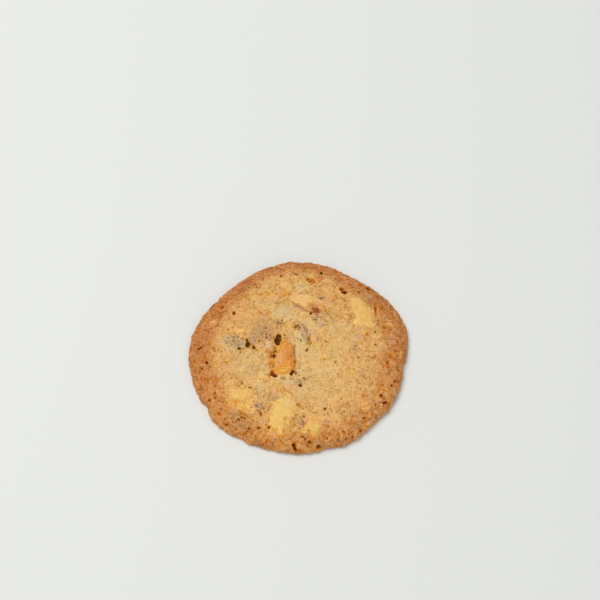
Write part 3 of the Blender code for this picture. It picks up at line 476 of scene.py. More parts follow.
# Tints, each over the ones before it: its colour as seen, how softly it fades, and its marks
TINTS = {
    # greenish pale dough, baked the least
    "pale": ((213, 182, 122), SOFT, marks(
        (0.8, 1.0, 3.4, 9.0, 0.85), (0.5, -6.0, 4.0, 6.0, 0.55), (-3.6, 13.3, 6.4, 2.9, 0.9, -15),
        (0.5, 11.2, 2.6, 2.6, 0.7), (-15.0, -6.0, 8.0, 5.0, 0.55), (-11.5, -15.0, 2.6, 4.6, 0.6, 15),
        (7.5, -9.0, 6.0, 7.0, 0.36), (5.5, -16.5, 7.0, 5.0, 0.45), (-21.2, 2.2, 3.2, 2.6, 0.95),
        (1.0, 23.6, 3.0, 2.6, 0.65), (-11.0, 17.5, 4.0, 2.0, 0.35), (13.5, 5.0, 4.0, 5.0, 0.3),
        (2.5, 9.6, 3.4, 2.8, 0.6), (-2.4, -12.0, 3.2, 1.6, 0.7), (-12.6, 3.8, 0.9, 1.2, 0.6),
        (-15.6, 5.8, 1.0, 2.0, 0.6),
    )),
    # smooth yellow nut or butter
    "yellow": ((241, 197, 108), SOFT, marks(
        (-18.6, -17.4, 4.8, 3.6, 0.66, -15), (-11.4, -10.4, 2.0, 1.6, 0.7, 20),
        (-18.6, 6.2, 1.4, 1.2, 0.35), (0.8, 10.8, 1.0, 1.6, 0.45), (-15.5, -21.5, 1.0, 2.6, 0.6, 35),
        (2.2, -28.7, 0.9, 1.0, 0.5), (-9.6, 20.4, 2.6, 1.0, 0.35), (-5.0, -19.6, 3.0, 1.6, 0.6, 30),
        (5.4, -29.9, 1.0, 0.9, 0.6), (-5.8, -24.8, 3.4, 5.0, 0.95, -25), (-3.2, -20.4, 2.8, 2.6, 0.4),
        (-6.4, -29.3, 2.9, 1.7, 0.95), (4.2, -28.8, 2.8, 2.1, 0.75), (-7.2, -27.6, 2.0, 1.8, 0.6),
    )),
    # brown skin showing through thin dough
    "tan": ((196, 151, 105), CRISP, marks(
        (-11.3, 5.2, 4.3, 4.4, 0.92, 20), (-14.4, 3.8, 1.6, 3.8, 0.75, -10), (-10.0, 10.0, 3.6, 1.0, 0.85),
        (-8.2, -17.6, 2.2, 1.6, 0.5), (1.0, 7.0, 1.0, 1.2, 0.6), (-12.4, -21.0, 2.0, 1.2, 0.75, -15),
        (3.4, 2.4, 0.9, 2.0, 0.5), (6.8, 13.6, 1.8, 1.4, 0.6), (-20.6, -10.2, 1.2, 0.8, 0.35),
        (20.0, -9.2, 2.0, 1.6, 0.3), (22.5, 20.0, 2.4, 1.6, 0.6, -40), (17.5, -1.0, 1.6, 2.4, 0.35),
    )),
    # olive spots, and olive painted shade in shallow creases and on the toasted almond's far side
    "olive": ((184, 146, 72), CRISP, marks(
        (-6.0, -0.5, 0.7, 1.4, 0.45, -25), (-14.2, 7.2, 0.45, 1.1, 0.8), (-4.2, 9.2, 0.6, 0.9, 0.6),
        (-12.5, 9.6, 0.9, 0.8, 0.5), (-6.5, 16.9, 1.1, 0.5, 0.9, 15), (-6.2, 4.9, 1.0, 0.6, 0.5),
        (-7.6, -0.2, 1.0, 1.4, 0.6), (-4.8, -11.2, 1.1, 0.8, 1.0), (-17.3, 5.0, 0.7, 1.2, 0.5),
        (-8.2, -2.0, 0.9, 2.2, 0.6, -20), (-2.2, -14.0, 0.4, 0.4, 0.5), (4.4, -8.0, 0.8, 0.5, 0.35),
        (9.9, -16.0, 0.7, 0.6, 0.35), (-3.2, -16.2, 3.0, 0.5, 0.5, -39),
    )),
    # orange and ochre, baked hard
    "orange": ((208, 130, 44), CRISP, marks(
        (-9.0, -3.2, 0.8, 0.9, 0.75), (-9.2, -1.2, 1.0, 0.5, 0.55), (-12.4, 13.4, 1.3, 0.7, 0.75),
        (-9.6, 13.3, 0.9, 0.6, 0.75, -10), (-4.2, 20.2, 2.4, 0.75, 0.5, 25), (7.0, 27.4, 1.1, 1.3, 0.8),
        (4.2, 26.4, 1.6, 0.8, 0.55, -25), (-19.4, -19.4, 1.9, 0.9, 0.6, -15),
        (28.3, -5.0, 0.8, 1.6, 0.8, -15), (30.2, -1.2, 0.8, 1.3, 0.7, -15), (30.3, -7.4, 0.8, 1.4, 0.7),
        (26.4, -13.6, 1.4, 1.2, 0.5), (27.4, 6.0, 0.9, 1.2, 0.75), (31.6, 3.0, 0.9, 0.9, 0.4),
        (25.1, 16.0, 0.6, 2.4, 0.6), (-27.0, -11.2, 0.9, 1.4, 0.45), (-28.8, 2.0, 0.8, 1.4, 0.5),
        (-28.6, -14.0, 0.7, 0.9, 0.4), (-9.0, -6.1, 0.7, 0.6, 0.5), (24.4, -2.8, 1.4, 0.5, 0.5, 40),
        (-6.5, -30.6, 3.0, 0.8, 0.55), (8.7, -28.4, 0.9, 1.4, 0.45), (3.2, -29.5, 0.6, 0.8, 0.6),
        (0.0, -35.4, 2.0, 0.8, 0.6), (-7.2, -29.6, 1.6, 0.9, 0.35), (-23.0, -21.5, 1.6, 0.8, 0.35, -30),
        (18.0, -31.0, 3.0, 0.8, 0.4, 25), (-3.4, -3.3, 0.5, 0.7, 0.95), (-3.4, -4.4, 0.45, 0.5, 0.95),
        (-2.3, -3.6, 0.5, 1.8, 0.9, 10), (-1.4, -5.2, 0.8, 1.0, 1.0), (-3.2, -1.8, 0.4, 0.6, 0.5),
        (-3.9, 1.2, 0.5, 0.5, 0.6), (24.6, -12.8, 0.8, 0.9, 0.5), (20.8, -16.4, 1.6, 0.6, 0.45, 10),
        (15.2, -20.6, 0.8, 0.7, 0.45), (21.4, -20.4, 1.1, 0.9, 0.4), (20.4, -24.0, 0.9, 0.5, 0.5, 25),
        (-2.0, -6.2, 1.0, 0.6, 0.6), (-6.5, -5.4, 0.3, 0.4, 0.5), (-8.2, -8.2, 0.8, 0.7, 0.45),
    )),
    # lilac flecks of skin, and a painted shadow line below the upper middle almond
    "lilac": ((190, 155, 138), SOFT, marks(
        (-19.8, 1.2, 2.2, 1.4, 0.45, -12), (-6.2, 8.9, 0.9, 1.2, 0.95, 10), (-5.3, 10.0, 0.5, 0.4, 0.9),
        (1.7, 5.4, 1.0, 1.7, 0.8, -10), (2.3, 3.2, 0.6, 1.1, 1.0, -10), (-9.6, 0.9, 1.2, 1.6, 0.4),
        (-19.8, -22.9, 1.7, 0.8, 0.45, -20), (-0.2, 3.6, 0.3, 0.7, 0.6), (5.0, 6.0, 0.7, 1.1, 0.4),
        # (0.2, 15.2) is a painted shadow line under the upper middle almond
        (5.6, 11.0, 1.4, 0.8, 0.65), (7.6, 9.2, 1.8, 1.2, 0.4), (0.2, 15.2, 2.4, 0.55, 0.85, -35),
        (-0.6, -12.4, 1.9, 1.5, 0.65), (0.6, -12.9, 0.9, 1.1, 0.6), (-0.4, -8.2, 0.6, 1.2, 0.7, 20),
        (-13.0, -21.0, 1.2, 0.9, 0.6), (-11.3, -21.6, 1.1, 0.8, 0.5), (-7.2, -18.3, 1.1, 0.7, 0.4),
        (1.4, -26.9, 0.8, 1.3, 0.9), (7.2, 18.8, 1.0, 1.2, 0.85), (18.2, 0.6, 0.4, 1.4, 0.65),
        (17.8, -1.0, 0.4, 0.8, 0.55), (-14.6, 3.0, 0.8, 2.2, 0.45, -10), (2.2, -27.0, 0.8, 1.4, 0.5),
        (2.3, 7.0, 0.9, 2.2, 0.7, 20), (-9.9, -26.4, 0.7, 0.7, 0.6), (31.9, -6.2, 0.8, 0.5, 0.5),
        (19.0, 4.2, 1.2, 0.9, 0.4),
    )),
    # grey, bruised dough and skin
    "grey": ((193, 165, 124), SOFT, marks(
        (-21.2, 2.8, 3.0, 2.4, 0.9, -20), (-19.6, 0.9, 2.6, 2.0, 0.85), (-17.6, 1.6, 1.0, 1.8, 0.5),
        (0.4, -0.5, 0.7, 3.4, 0.35), (2.2, 3.4, 0.8, 1.8, 0.45, -10), (6.0, 11.2, 1.6, 0.8, 0.45),
        (7.6, 9.4, 1.6, 0.8, 0.35), (-9.4, 1.0, 1.0, 1.6, 0.35), (-12.6, -20.8, 1.4, 0.9, 0.35),
        (13.4, 8.2, 2.0, 0.9, 0.25), (0.6, -13.0, 1.2, 1.2, 0.6), (10.4, 11.4, 0.7, 3.4, 0.45, 32),
        (-4.9, -11.2, 1.3, 0.9, 0.8, -15), (27.0, -20.9, 1.2, 0.9, 0.5, 35),
    )),
    # golden flanks of the toasted almond, and other bright ochre spots
    "gold": ((232, 160, 44), CRISP, marks(
        (-4.4, 20.4, 1.8, 0.8, 0.5, 15), (-12.0, -30.7, 0.9, 0.5, 0.6), (-7.4, -28.8, 1.8, 0.7, 0.5),
        (22.0, 5.6, 0.9, 1.1, 0.45), (27.6, 8.4, 0.9, 0.7, 0.5), (-4.4, 2.0, 1.2, 0.7, 0.45),
        (-5.6, 0.8, 0.8, 1.5, 0.7, -25), (-4.2, -6.9, 2.8, 0.8, 0.95, 8), (-6.4, -7.7, 2.2, 0.8, 0.95),
        (-8.2, -4.9, 1.3, 1.0, 0.9), (-2.6, -5.2, 0.9, 1.0, 0.6), (8.6, -4.4, 0.9, 0.8, 0.6),
        (9.0, 2.0, 0.6, 0.8, 0.6, -35), (-8.8, -4.4, 0.8, 0.7, 0.6), (-5.0, -16.2, 1.6, 0.6, 0.35, 10),
        (-23.0, -5.2, 0.8, 0.7, 0.5), (-3.5, -30.6, 2.6, 0.6, 0.4), (2.6, -27.6, 0.7, 1.2, 0.5),
        (5.0, -30.6, 1.4, 0.8, 0.5),
    )),
    # pinker crumb and almond
    "rose": ((232, 172, 108), SOFT, marks(
        (6.5, 16.7, 1.5, 1.1, 0.9, -20), (3.9, 18.3, 1.0, 0.6, 0.5), (5.2, -25.4, 2.2, 1.7, 0.85),
        (29.4, 10.0, 1.0, 0.8, 0.8), (28.5, -10.7, 1.1, 0.9, 0.7), (-27.7, 11.2, 0.9, 0.9, 0.7),
        (30.5, -13.2, 0.9, 1.4, 0.4), (-9.2, 9.7, 1.0, 0.5, 0.5), (-5.6, -3.2, 1.3, 1.9, 0.85, -10),
        (-6.2, -5.2, 1.3, 1.1, 0.85), (-2.3, 0.2, 0.7, 1.5, 0.7), (24.0, -22.0, 4.5, 9.0, 0.4, 35),
        (0.4, -23.4, 1.2, 0.9, 0.45), (8.0, -17.2, 1.6, 0.9, 0.5), (5.0, -19.4, 1.8, 0.9, 0.45),
        (1.4, -3.4, 1.2, 0.8, 0.45), (5.0, 15.6, 1.2, 0.6, 0.6, -20), (7.6, 15.4, 0.8, 1.2, 0.8),
        (11.0, 20.0, 1.6, 1.0, 0.35), (25.8, 12.6, 0.5, 1.2, 0.6), (17.5, -6.5, 1.6, 1.4, 0.4),
    )),
    # amber flesh of the toasted almond, and baked edges
    "amber": ((236, 148, 54), SOFT, marks(
        (-2.5, -4.6, 1.2, 1.3, 0.95), (-1.9, -6.2, 1.1, 1.1, 0.95), (-3.4, 0.9, 1.0, 0.8, 0.8),
        (-2.3, -1.2, 0.7, 2.1, 0.7), (-3.9, -6.2, 1.2, 0.8, 0.8), (25.7, 15.4, 0.5, 2.2, 0.7),
        (7.3, 15.5, 0.7, 1.4, 0.5, 20), (4.0, 15.8, 1.0, 0.7, 0.5, -20), (-17.8, -21.8, 1.2, 0.6, 0.5, -30),
        (-19.6, -19.6, 2.2, 1.2, 0.35, -15),
    )),
    # straw-coloured flesh of the toasted almond, with a painted highlight along its lower edge, and crumb as
    # light
    "straw": ((242, 184, 84), SOFT, marks(
        # (-4.2, -8.6), (-3.0, -7.9) and (-6.4, -8.8) are a painted highlight along the toasted almond's lower
        # edge
        (-5.6, 0.4, 0.8, 2.2, 0.7, -22), (-4.2, -8.6, 3.0, 0.8, 1.0), (-3.0, -7.9, 1.4, 0.7, 0.85, 20),
        (-6.4, -8.8, 1.4, 0.6, 0.75), (-4.3, 1.8, 1.3, 0.9, 0.8), (-17.9, -21.2, 2.6, 0.9, 0.75, -46),
        (22.5, -18.5, 2.6, 9.0, 0.14, -40), (5.2, -25.4, 2.2, 1.7, 0.4),
    )),
    # hazel crust at the front left
    "hazel": ((191, 142, 86), SOFT, marks(
        (-18.8, -24.8, 3.0, 2.3, 0.95, -35), (-16.6, -27.2, 2.6, 1.2, 0.8, -10),
    )),
    # creamy light crumb
    "cream": ((230, 193, 137), SOFT, marks(
        (-9.6, 0.9, 1.3, 1.8, 0.75), (-17.4, -1.2, 2.6, 1.0, 0.5), (-3.0, -20.4, 2.4, 2.2, 0.45),
        (0.2, 18.7, 3.4, 1.6, 0.45, -12), (-2.0, -12.0, 3.0, 1.5, 0.4), (0.9, -4.4, 0.9, 1.4, 0.5),
        (-20.6, -0.3, 2.4, 0.9, 0.4), (6.6, 17.0, 1.3, 0.9, 0.32, -20),
    )),
    # clean cut faces of the upper right almond
    "butter": ((240, 194, 116), CRISP, marks(
        (18.9, 10.2, 0.9, 2.4, 0.95, -10), (23.6, 9.0, 0.9, 1.4, 0.8), (23.9, 14.6, 0.5, 2.0, 0.6),
    )),
    # dark toasted skin on the upper middle almond and beside the toasted one
    "umber": ((172, 88, 38), SOFT, marks(
        (4.6, 14.9, 2.5, 1.9, 0.54, -25), (5.6, 13.9, 2.0, 1.4, 1.0, -25), (5.6, 12.8, 1.3, 0.9, 0.7),
        (0.4, 15.2, 2.6, 0.5, 0.3, -36), (-8.9, -1.9, 1.1, 1.8, 0.3, -10),
    )),
    # red and purple bits of skin, a faint red cast near the sides, and painted shade down the toasted
    # almond's right edge
    "red": ((144, 72, 36), SOFT, marks(
        (-0.5, 7.8, 1.2, 0.9, 0.95), (-1.5, 7.8, 0.7, 0.6, 0.65), (0.1, 7.0, 0.6, 1.2, 0.7, 12),
        (5.8, 13.7, 1.0, 0.7, 0.5, -25), (1.7, -11.5, 0.5, 0.95, 0.8, 18), (-19.0, -13.7, 0.6, 0.35, 0.45),
        (-10.6, 14.2, 0.5, 0.45, 0.45), (-3.6, 3.4, 0.5, 0.8, 0.5), (3.0, 2.0, 0.35, 1.0, 0.6),
        (30.6, 3.0, 1.2, 0.9, 0.4, -20), (-17.9, -12.8, 0.6, 0.6, 0.4), (15.1, 18.2, 0.3, 0.8, 0.4),
        # (-1.5, -1.2) is painted shade down the toasted almond's right edge
        (-1.2, 0.9, 0.5, 0.7, 0.45, 20), (-1.5, -1.2, 0.5, 2.3, 0.4), (22.8, 20.0, 3.0, 9.5, 0.15, 40),
        (-10.2, -0.9, 0.5, 0.4, 0.5), (-31.5, 1.0, 3.0, 12.0, 0.12), (-2.5, -10.6, 0.5, 0.4, 0.2),
        (1.3, -26.8, 0.4, 0.9, 0.6, 10),
    )),
}


# ---------------------------------------------------------------- the top's form and marks


def lattice_noise(x, y, length, seed):
    """Smooth noise from -1 to 1 with bumps of this length: random heights on a slanted lattice."""
    lattice = 64
    slant = 0.6 + seed
    heights = np.random.default_rng(seed).uniform(-1, 1, (lattice, lattice))
    u = (x * math.cos(slant) - y * math.sin(slant)) / length + lattice / 2
    v = (x * math.sin(slant) + y * math.cos(slant)) / length + lattice / 2
    i, j = np.floor(u).astype(int), np.floor(v).astype(int)
    fu, fv = u - i, v - j
    fu, fv = fu * fu * (3 - 2 * fu), fv * fv * (3 - 2 * fv)
    i, j = i % lattice, j % lattice
    i2, j2 = (i + 1) % lattice, (j + 1) % lattice
    near = heights[i, j] * (1 - fu) + heights[i2, j] * fu
    far = heights[i, j2] * (1 - fu) + heights[i2, j2] * fu
    return near * (1 - fv) + far * fv


def edge_radius(angle):
    """The outline's radius at an angle: a smooth curve through EDGE_SHARES, a waver and nicks."""
    steps = len(EDGE_SHARES)
    step = angle / (2 * math.pi / steps)
    first = np.floor(step).astype(int)
    f = step - first
    before, start, end, after = (np.array(EDGE_SHARES)[(first + k) % steps] for k in (-1, 0, 1, 2))
    share = start + 0.5 * f * (
        end - before
        + f * (2 * before - 5 * start + 4 * end - after + f * (3 * (start - end) + after - before))
    )
    x, y = RADIUS * np.cos(angle), RADIUS * np.sin(angle)
    radius = RADIUS * share + EDGE_WAVER * lattice_noise(x, y, EDGE_WAVER_LENGTH, EDGE_WAVER_SEED)
    for degrees, half_width, out in EDGE_NICKS:
        away = np.mod(angle - math.radians(degrees) + math.pi, 2 * math.pi) - math.pi
        radius += out * MM * np.exp(-((away / math.radians(half_width)) ** 2))
    return radius


def outline_centre():
    """The middle of the outline's box, which is moved to the origin."""
    angle = np.linspace(0, 2 * math.pi, OUTLINE_SAMPLES, endpoint=False)
    x, y = edge_radius(angle) * np.cos(angle), edge_radius(angle) * np.sin(angle)
    return (x.max() + x.min()) / 2, (y.max() + y.min()) / 2


SHIFT = np.array((*outline_centre(), 0))


def turned(x, y, centre_x, centre_y, degrees):
    """Distances along and across a line through a mark's middle, turned from +X."""
    turn = math.radians(degrees)
    dx, dy = x - centre_x * MM, y - centre_y * MM + MARKS_NEARER
    return dx * math.cos(turn) + dy * math.sin(turn), dy * math.cos(turn) - dx * math.sin(turn)


def smoothstep(low, high, value):
    """0 at low and 1 at high, with a soft start and end."""
    t = np.clip((value - low) / (high - low), 0, 1)
    return t * t * (3 - 2 * t)


def lump_relief(x, y):
    """Rise of all the lumps at a point."""
    rise = np.zeros_like(x)
    for centre_x, centre_y, half_length, half_width, degrees, height in LUMPS:
        along, across = turned(x, y, centre_x, centre_y, degrees)
        away = (along / (half_length * MM)) ** 2 + (across / (half_width * MM)) ** 2
        rise += height * MM * np.exp(-LUMP_FALL * away**LUMP_POWER)
    return rise


def edge_share(x, y):
    """Distance from the middle as a share of the outline's radius that way."""
    return np.hypot(x, y) / edge_radius(np.arctan2(y, x))


def top_height(x, y):
    """Height of the dough's top at a point, as in the solid."""
    share = np.minimum(edge_share(x, y), 1)
    dome = NOSE_HEIGHT + (CENTRE_HEIGHT - NOSE_HEIGHT) * np.sqrt(1 - share**DOME_POWER)
    relief = lump_relief(x, y)
    for seed, (height, length) in enumerate(SWELLS, SWELL_SEED):
        relief = relief + height * lattice_noise(x, y, length, seed)
    fade = np.clip((1 - share) / (1 - SHOULDER_SHARE), 0, 1)
    return dome + relief * fade


def solid_noise(points, length, seed):
    """Noise in space from -1 to 1 with bumps of this length."""
    offset = np.array((17.3, 5.1, 9.7)) * seed
    return np.array([noise.noise(Vector(p)) for p in (points / length + offset).tolist()])


def raggedness(points, noises, shares):
    """How far two noises move the edges of marks at these points."""
    broad, fine = (share * solid_noise(points, *spec) for spec, share in zip(noises, shares))
    return broad + fine


def crumb_noises(points):
    """The crumb's noises at these points, from coarse to fine."""
    return [solid_noise(points, *spec) for spec in CRUMB_NOISES]


def crumb_shade_and_tone(noises):
    """Painted shade in the crumb's hollows and painted light on its tops, which go with its relief."""
    coarse, crumb, grain = noises
    broad, middling, fine = CRUMB_TONE
    return 0.5 + fine * grain + middling * crumb + broad * coarse


def warped(points):
    """Places with a little noise added, so that marks read at them get ragged outlines."""
    x, y = points[:, 0].copy(), points[:, 1].copy()
    for seed, (reach, length) in enumerate(WARPS, WARP_SEED):
        x += reach * solid_noise(points, length, 2 * seed)
        y += reach * solid_noise(points, length, 2 * seed + 1)
    return x, y


def away_from(x, y, mark):
    """Distance from a mark's middle, 1 at its outline."""
    across, along = turned(x, y, mark.x, mark.y, mark.turn)
    return np.hypot(across / (mark.half_width * MM), along / (mark.half_length * MM))


def spread(x, y, table, edge, ragged=0.0):
    """A mask of a table's marks, each fading from its strength to nothing across its edge."""
    mask = np.zeros_like(x)
    for mark in table:
        away = away_from(x, y, mark) + ragged
        mask = np.maximum(mask, mark.strength * (1 - smoothstep(*edge, away)))
    return mask


def crack_mask(x, y):
    """How dark the cracks are at a point: strongest in the middle of each curve."""
    mask = np.zeros_like(x)
    for *places, half_width, darkness in CRACKS:
        start, bend, end = np.reshape(places, (3, 2))
        nearest, along = np.full_like(x, np.inf), np.zeros_like(x)
        for t in np.linspace(0, 1, CRACK_STEPS):
            at_x, at_y = (1 - t) ** 2 * start + 2 * t * (1 - t) * bend + t**2 * end
            away = np.hypot(x - at_x * MM, y - at_y * MM + MARKS_NEARER)
            along = np.where(away < nearest, t, along)
            nearest = np.minimum(nearest, away)
        taper = np.sin(math.pi * np.clip(along, 0.03, 0.97)) ** 0.5
        edge = smoothstep(*CRACK_EDGE, nearest / (half_width * MM))
        mask = np.maximum(mask, darkness * taper * (1 - edge))
    return mask


def pit_mask(points, x, y):
    """How dark the pits and cracks are: unevenly so inside each."""
    uneven = 1 + PIT_UNEVENNESS * solid_noise(points, *PIT_NOISE)
    return np.maximum(spread(x, y, PITS, PIT_EDGE) * uneven, crack_mask(x, y))


def pit_depth(x, y):
    """How deep the pits and cracks are."""
    depth = CRACK_DEPTH * crack_mask(x, y)
    for pit in PITS:
        hollow = 1 - smoothstep(*HOLLOW_EDGE, away_from(x, y, pit))
        narrow = min(pit.half_width, pit.half_length)
        depth = np.maximum(depth, PIT_DEPTH * narrow * pit.strength * MM * hollow)
    return depth


def pore_mask(points, x, y, pores):
    """How dark and how deep small pores and specks are."""
    darkness, depth = np.zeros(len(points)), np.zeros(len(points))
    for pore in pores:
        off_x, off_y = points[:, 0] - pore.x * MM, points[:, 1] - pore.y * MM + MARKS_NEARER
        near = np.flatnonzero(np.hypot(off_x, off_y) < PORE_REACH)
        away = away_from(x[near], y[near], pore)
        dark = pore.strength * (1 - smoothstep(*PORE_EDGE, away))
        hollow = PORE_DEPTH * pore.half_width * MM * (1 - smoothstep(*PORE_HOLLOW_EDGE, away))
        darkness[near] = np.maximum(darkness[near], dark)
        depth[near] = np.maximum(depth[near], hollow)
    return darkness, depth


def rising(level, more, share):
    """A level, and so much more as the share says."""
    return level + more * share


def scattered_pores():
    """Small open pores of the crust: more, bigger and darker towards the rim."""
    random = np.random.default_rng(PORE_SEED)
    smallest, largest = PORE_HALF_WIDTHS
    pores = []
    while len(pores) < PORES:
        angle, share = random.uniform(0, 2 * math.pi), math.sqrt(random.uniform(0, 1))
        size, darkness, keep = random.uniform(0, 1, 3)
        if keep > rising(*PORES_KEPT, share**3):
            continue
        reach = share * RADIUS / MM
        half_width = smallest + size**2 * (largest * rising(*PORE_GROWTH, share) - smallest)
        half_length = half_width * random.uniform(*PORE_LENGTHS)
        strength = rising(*PORE_DARKNESS, darkness**PORE_DARKNESS_POWER)
        strength *= rising(*PORE_DARKENING, share**3)
        x, y = reach * math.cos(angle), reach * math.sin(angle) + MARKS_NEARER / MM
        pores.append(Mark(x, y, half_width, half_length, strength, random.uniform(0, 180)))
    return pores


def scattered_specks():
    """Dark specks of almond skin in the patches of SPECKLED."""
    random = np.random.default_rng(SPECK_SEED)
    smallest, largest = SPECK_HALF_WIDTHS
    specks = []
    for centre_x, centre_y, patch_width, patch_length, degrees, count in SPECKLED:
        turn = math.radians(degrees)
        for _ in range(count):
            angle, share = random.uniform(0, 2 * math.pi), math.sqrt(random.uniform(0, 1))
            across, along = share * patch_width * math.cos(angle), share * patch_length * math.sin(angle)
            size, darkness = random.uniform(0, 1, 2)
            x = centre_x + across * math.cos(turn) - along * math.sin(turn)
            y = centre_y + across * math.sin(turn) + along * math.cos(turn)
            half_width = smallest + size**2 * (largest - smallest)
            half_length = half_width * random.uniform(*SPECK_LENGTHS)
            strength = rising(*SPECK_DARKNESS, darkness)
            specks.append(Mark(x, y, half_width, half_length, strength, random.uniform(0, 180)))
    return specks


# ---------------------------------------------------------------- meshes


def disc_faces(rings, start):
    """Triangles between rings of 6, 12, 18 ... points round a middle point, numbered from start."""
    faces = []
    inner_start = start
    for ring in range(1, rings + 1):
        outer_start = start + 1 + 3 * ring * (ring - 1)
        inner_count, outer_count = max(6 * (ring - 1), 1), 6 * ring
        for side in range(6):
            for k in range(ring):
                outer = outer_start + side * ring + k
                next_outer = outer_start + (side * ring + k + 1) % outer_count
                inner = inner_start + (side * (ring - 1) + k) % inner_count
                faces.append((inner, outer, next_outer))
                if k < ring - 1:
                    next_inner = inner_start + (side * (ring - 1) + k + 1) % inner_count
                    faces.append((inner, next_outer, next_inner))
        inner_start = outer_start
    return faces


def disc_rings(rings, outer_share):
    """Angle and share of the outline for every point of a disc of rings."""
    angle, share = [np.zeros(1)], [np.zeros(1)]
    for ring in range(1, rings + 1):
        angle.append(2 * math.pi * np.arange(6 * ring) / (6 * ring))
        share.append(np.full(6 * ring, outer_share * ring / rings))
    return np.concatenate(angle), np.concatenate(share)


def last_ring(rings):
    """How many points a disc has before its last ring."""
    return 1 + 3 * rings * (rings - 1)


def band_faces(first_start, second_start, count):
    """Two triangles for each step between two rings of as many points."""
    faces = []
    for k in range(count):
        n = (k + 1) % count
        faces.append((first_start + k, second_start + k, second_start + n))
        faces.append((first_start + k, second_start + n, first_start + n))
    return faces


def new_mesh_object(name, points, faces):
    """A smooth-shaded object whose points are moved so that the outline's box is centred."""
    mesh = bpy.data.meshes.new(name)
    mesh.from_pydata((points - SHIFT).tolist(), [], faces)
    mesh.update()
    mesh.shade_smooth()
    thing = bpy.data.objects.new(name, mesh)
    bpy.context.scene.collection.objects.link(thing)
    return thing


def point_normals(mesh):
    normals = np.empty(len(mesh.vertices) * 3, np.float32)
    mesh.vertices.foreach_get("normal", normals)
    return normals.reshape(-1, 3).astype(float)


def set_points(mesh, points):
    """Gives the mesh new points, centred as its first ones were."""
    mesh.vertices.foreach_set("co", (points - SHIFT).astype(np.float32).ravel())
    mesh.update()


def paint(mesh, name, values):
    """A mask from 0 to 1 on the mesh's points, for the material to read."""
    layer = mesh.attributes.new(name, "FLOAT", "POINT")
    layer.data.foreach_set("value", np.clip(values, 0, 1).astype(np.float32))


def paint_tints(mesh, points, x, y, strength=1.0):
    """A mask for each kind of tint, with ragged edges."""
    ragged = raggedness(points, TINT_NOISES, TINT_RAGGEDNESS)
    for kind, (_, edge, table) in TINTS.items():
        paint(mesh, kind, strength * spread(x, y, table, edge, ragged))


# ---------------------------------------------------------------- almond chunks' outlines


def rounded_outline(corners):
    """Points evenly spaced round a chunk's outline, anticlockwise, its corners rounded off."""
    corners = np.array(corners) * MM - (0, MARKS_NEARER)
    sides = np.roll(corners, -1, axis=0) - corners
    lengths = np.hypot(*sides.T)
    starts = np.concatenate(([0], np.cumsum(lengths)))
    along = np.arange(CHUNK_POINTS) / CHUNK_POINTS * starts[-1]
    side = np.searchsorted(starts, along, side="right") - 1
    points = corners[side] + sides[side] * ((along - starts[side]) / lengths[side])[:, None]
    for _ in range(CHUNK_ROUNDING):
        points = (np.roll(points, 1, axis=0) + 2 * points + np.roll(points, -1, axis=0)) / 4
    (x, y), (next_x, next_y) = points.T, np.roll(points, -1, axis=0).T
    anticlockwise = (x * next_y - next_x * y).sum() > 0
    return points if anticlockwise else points[::-1]


OUTLINES = {name: rounded_outline(chunk.outline) for name, chunk in CHUNKS.items()}


def chunk_share(outline, x, y):
    """Distance from a chunk's middle as a share of its outline's distance that way."""
    middle = outline.mean(axis=0)
    around = outline - middle
    angles, reaches = np.arctan2(around[:, 1], around[:, 0]), np.hypot(*around.T)
    order = np.argsort(angles)
    angle = np.arctan2(y - middle[1], x - middle[0])
    reach = np.interp(angle, angles[order], reaches[order], period=2 * math.pi)
    return np.hypot(x - middle[0], y - middle[1]) / reach


# ---------------------------------------------------------------- the dough


def dough_points():
    """The smooth dough's points, as in the solid: its top, its rim's rings and its underside."""
    angle, share = disc_rings(TOP_RINGS, SHOULDER_SHARE)
    reach = share * edge_radius(angle)
    x, y = reach * np.cos(angle), reach * np.sin(angle)
    points = [np.column_stack((x, y, top_height(x, y)))]

    count = 6 * TOP_RINGS
    angles = 2 * math.pi * np.arange(count) / count
    edge = edge_radius(angles)
    shoulder_fall = math.sqrt(1 - SHOULDER_SHARE**DOME_POWER)
    for step in range(1, RIM_STEPS + 1):
        fall = shoulder_fall * (1 - step / RIM_STEPS)
        reach = edge * (1 - fall**2) ** (1 / DOME_POWER)
        x, y = reach * np.cos(angles), reach * np.sin(angles)
        points.append(np.column_stack((x, y, top_height(x, y))))
    for step in range(1, UNDER_NOSE_STEPS + 1):
        roll = math.pi / 2 * step / UNDER_NOSE_STEPS
        reach = edge - FOOT_INSET * (1 - math.cos(roll))
        z = np.full(count, NOSE_HEIGHT * (1 - math.sin(roll)))
        points.append(np.column_stack((reach * np.cos(angles), reach * np.sin(angles), z)))

    angle, share = disc_rings(UNDER_RINGS, 1.0)
    reach = share * (edge_radius(angle) - FOOT_INSET) * (1 - UNDER_SEAM / UNDER_RINGS)
    points.append(np.column_stack((reach * np.cos(angle), reach * np.sin(angle), np.zeros(len(angle)))))
    return np.concatenate(points)


def dough_faces():
    """Triangles of the top, the rim and the underside, whose last ring has half the rim's points."""
    count, bands = 6 * TOP_RINGS, RIM_STEPS + UNDER_NOSE_STEPS
    shoulder = last_ring(TOP_RINGS)
    foot = shoulder + bands * count
    under_start = foot + count
    faces = disc_faces(TOP_RINGS, 0)
    for start in range(shoulder, foot, count):
        faces += band_faces(start, start + count, count)
    faces += [face[::-1] for face in disc_faces(UNDER_RINGS, under_start)]

    half, under = count // 2, under_start + last_ring(UNDER_RINGS)
    for k in range(half):
        n = (k + 1) % half
        middle, end = foot + 2 * k + 1, foot + (2 * k + 2) % count
        faces.append((foot + 2 * k, under + k, middle))
        faces.append((middle, under + k, under + n))
        faces.append((middle, under + n, end))
    return faces


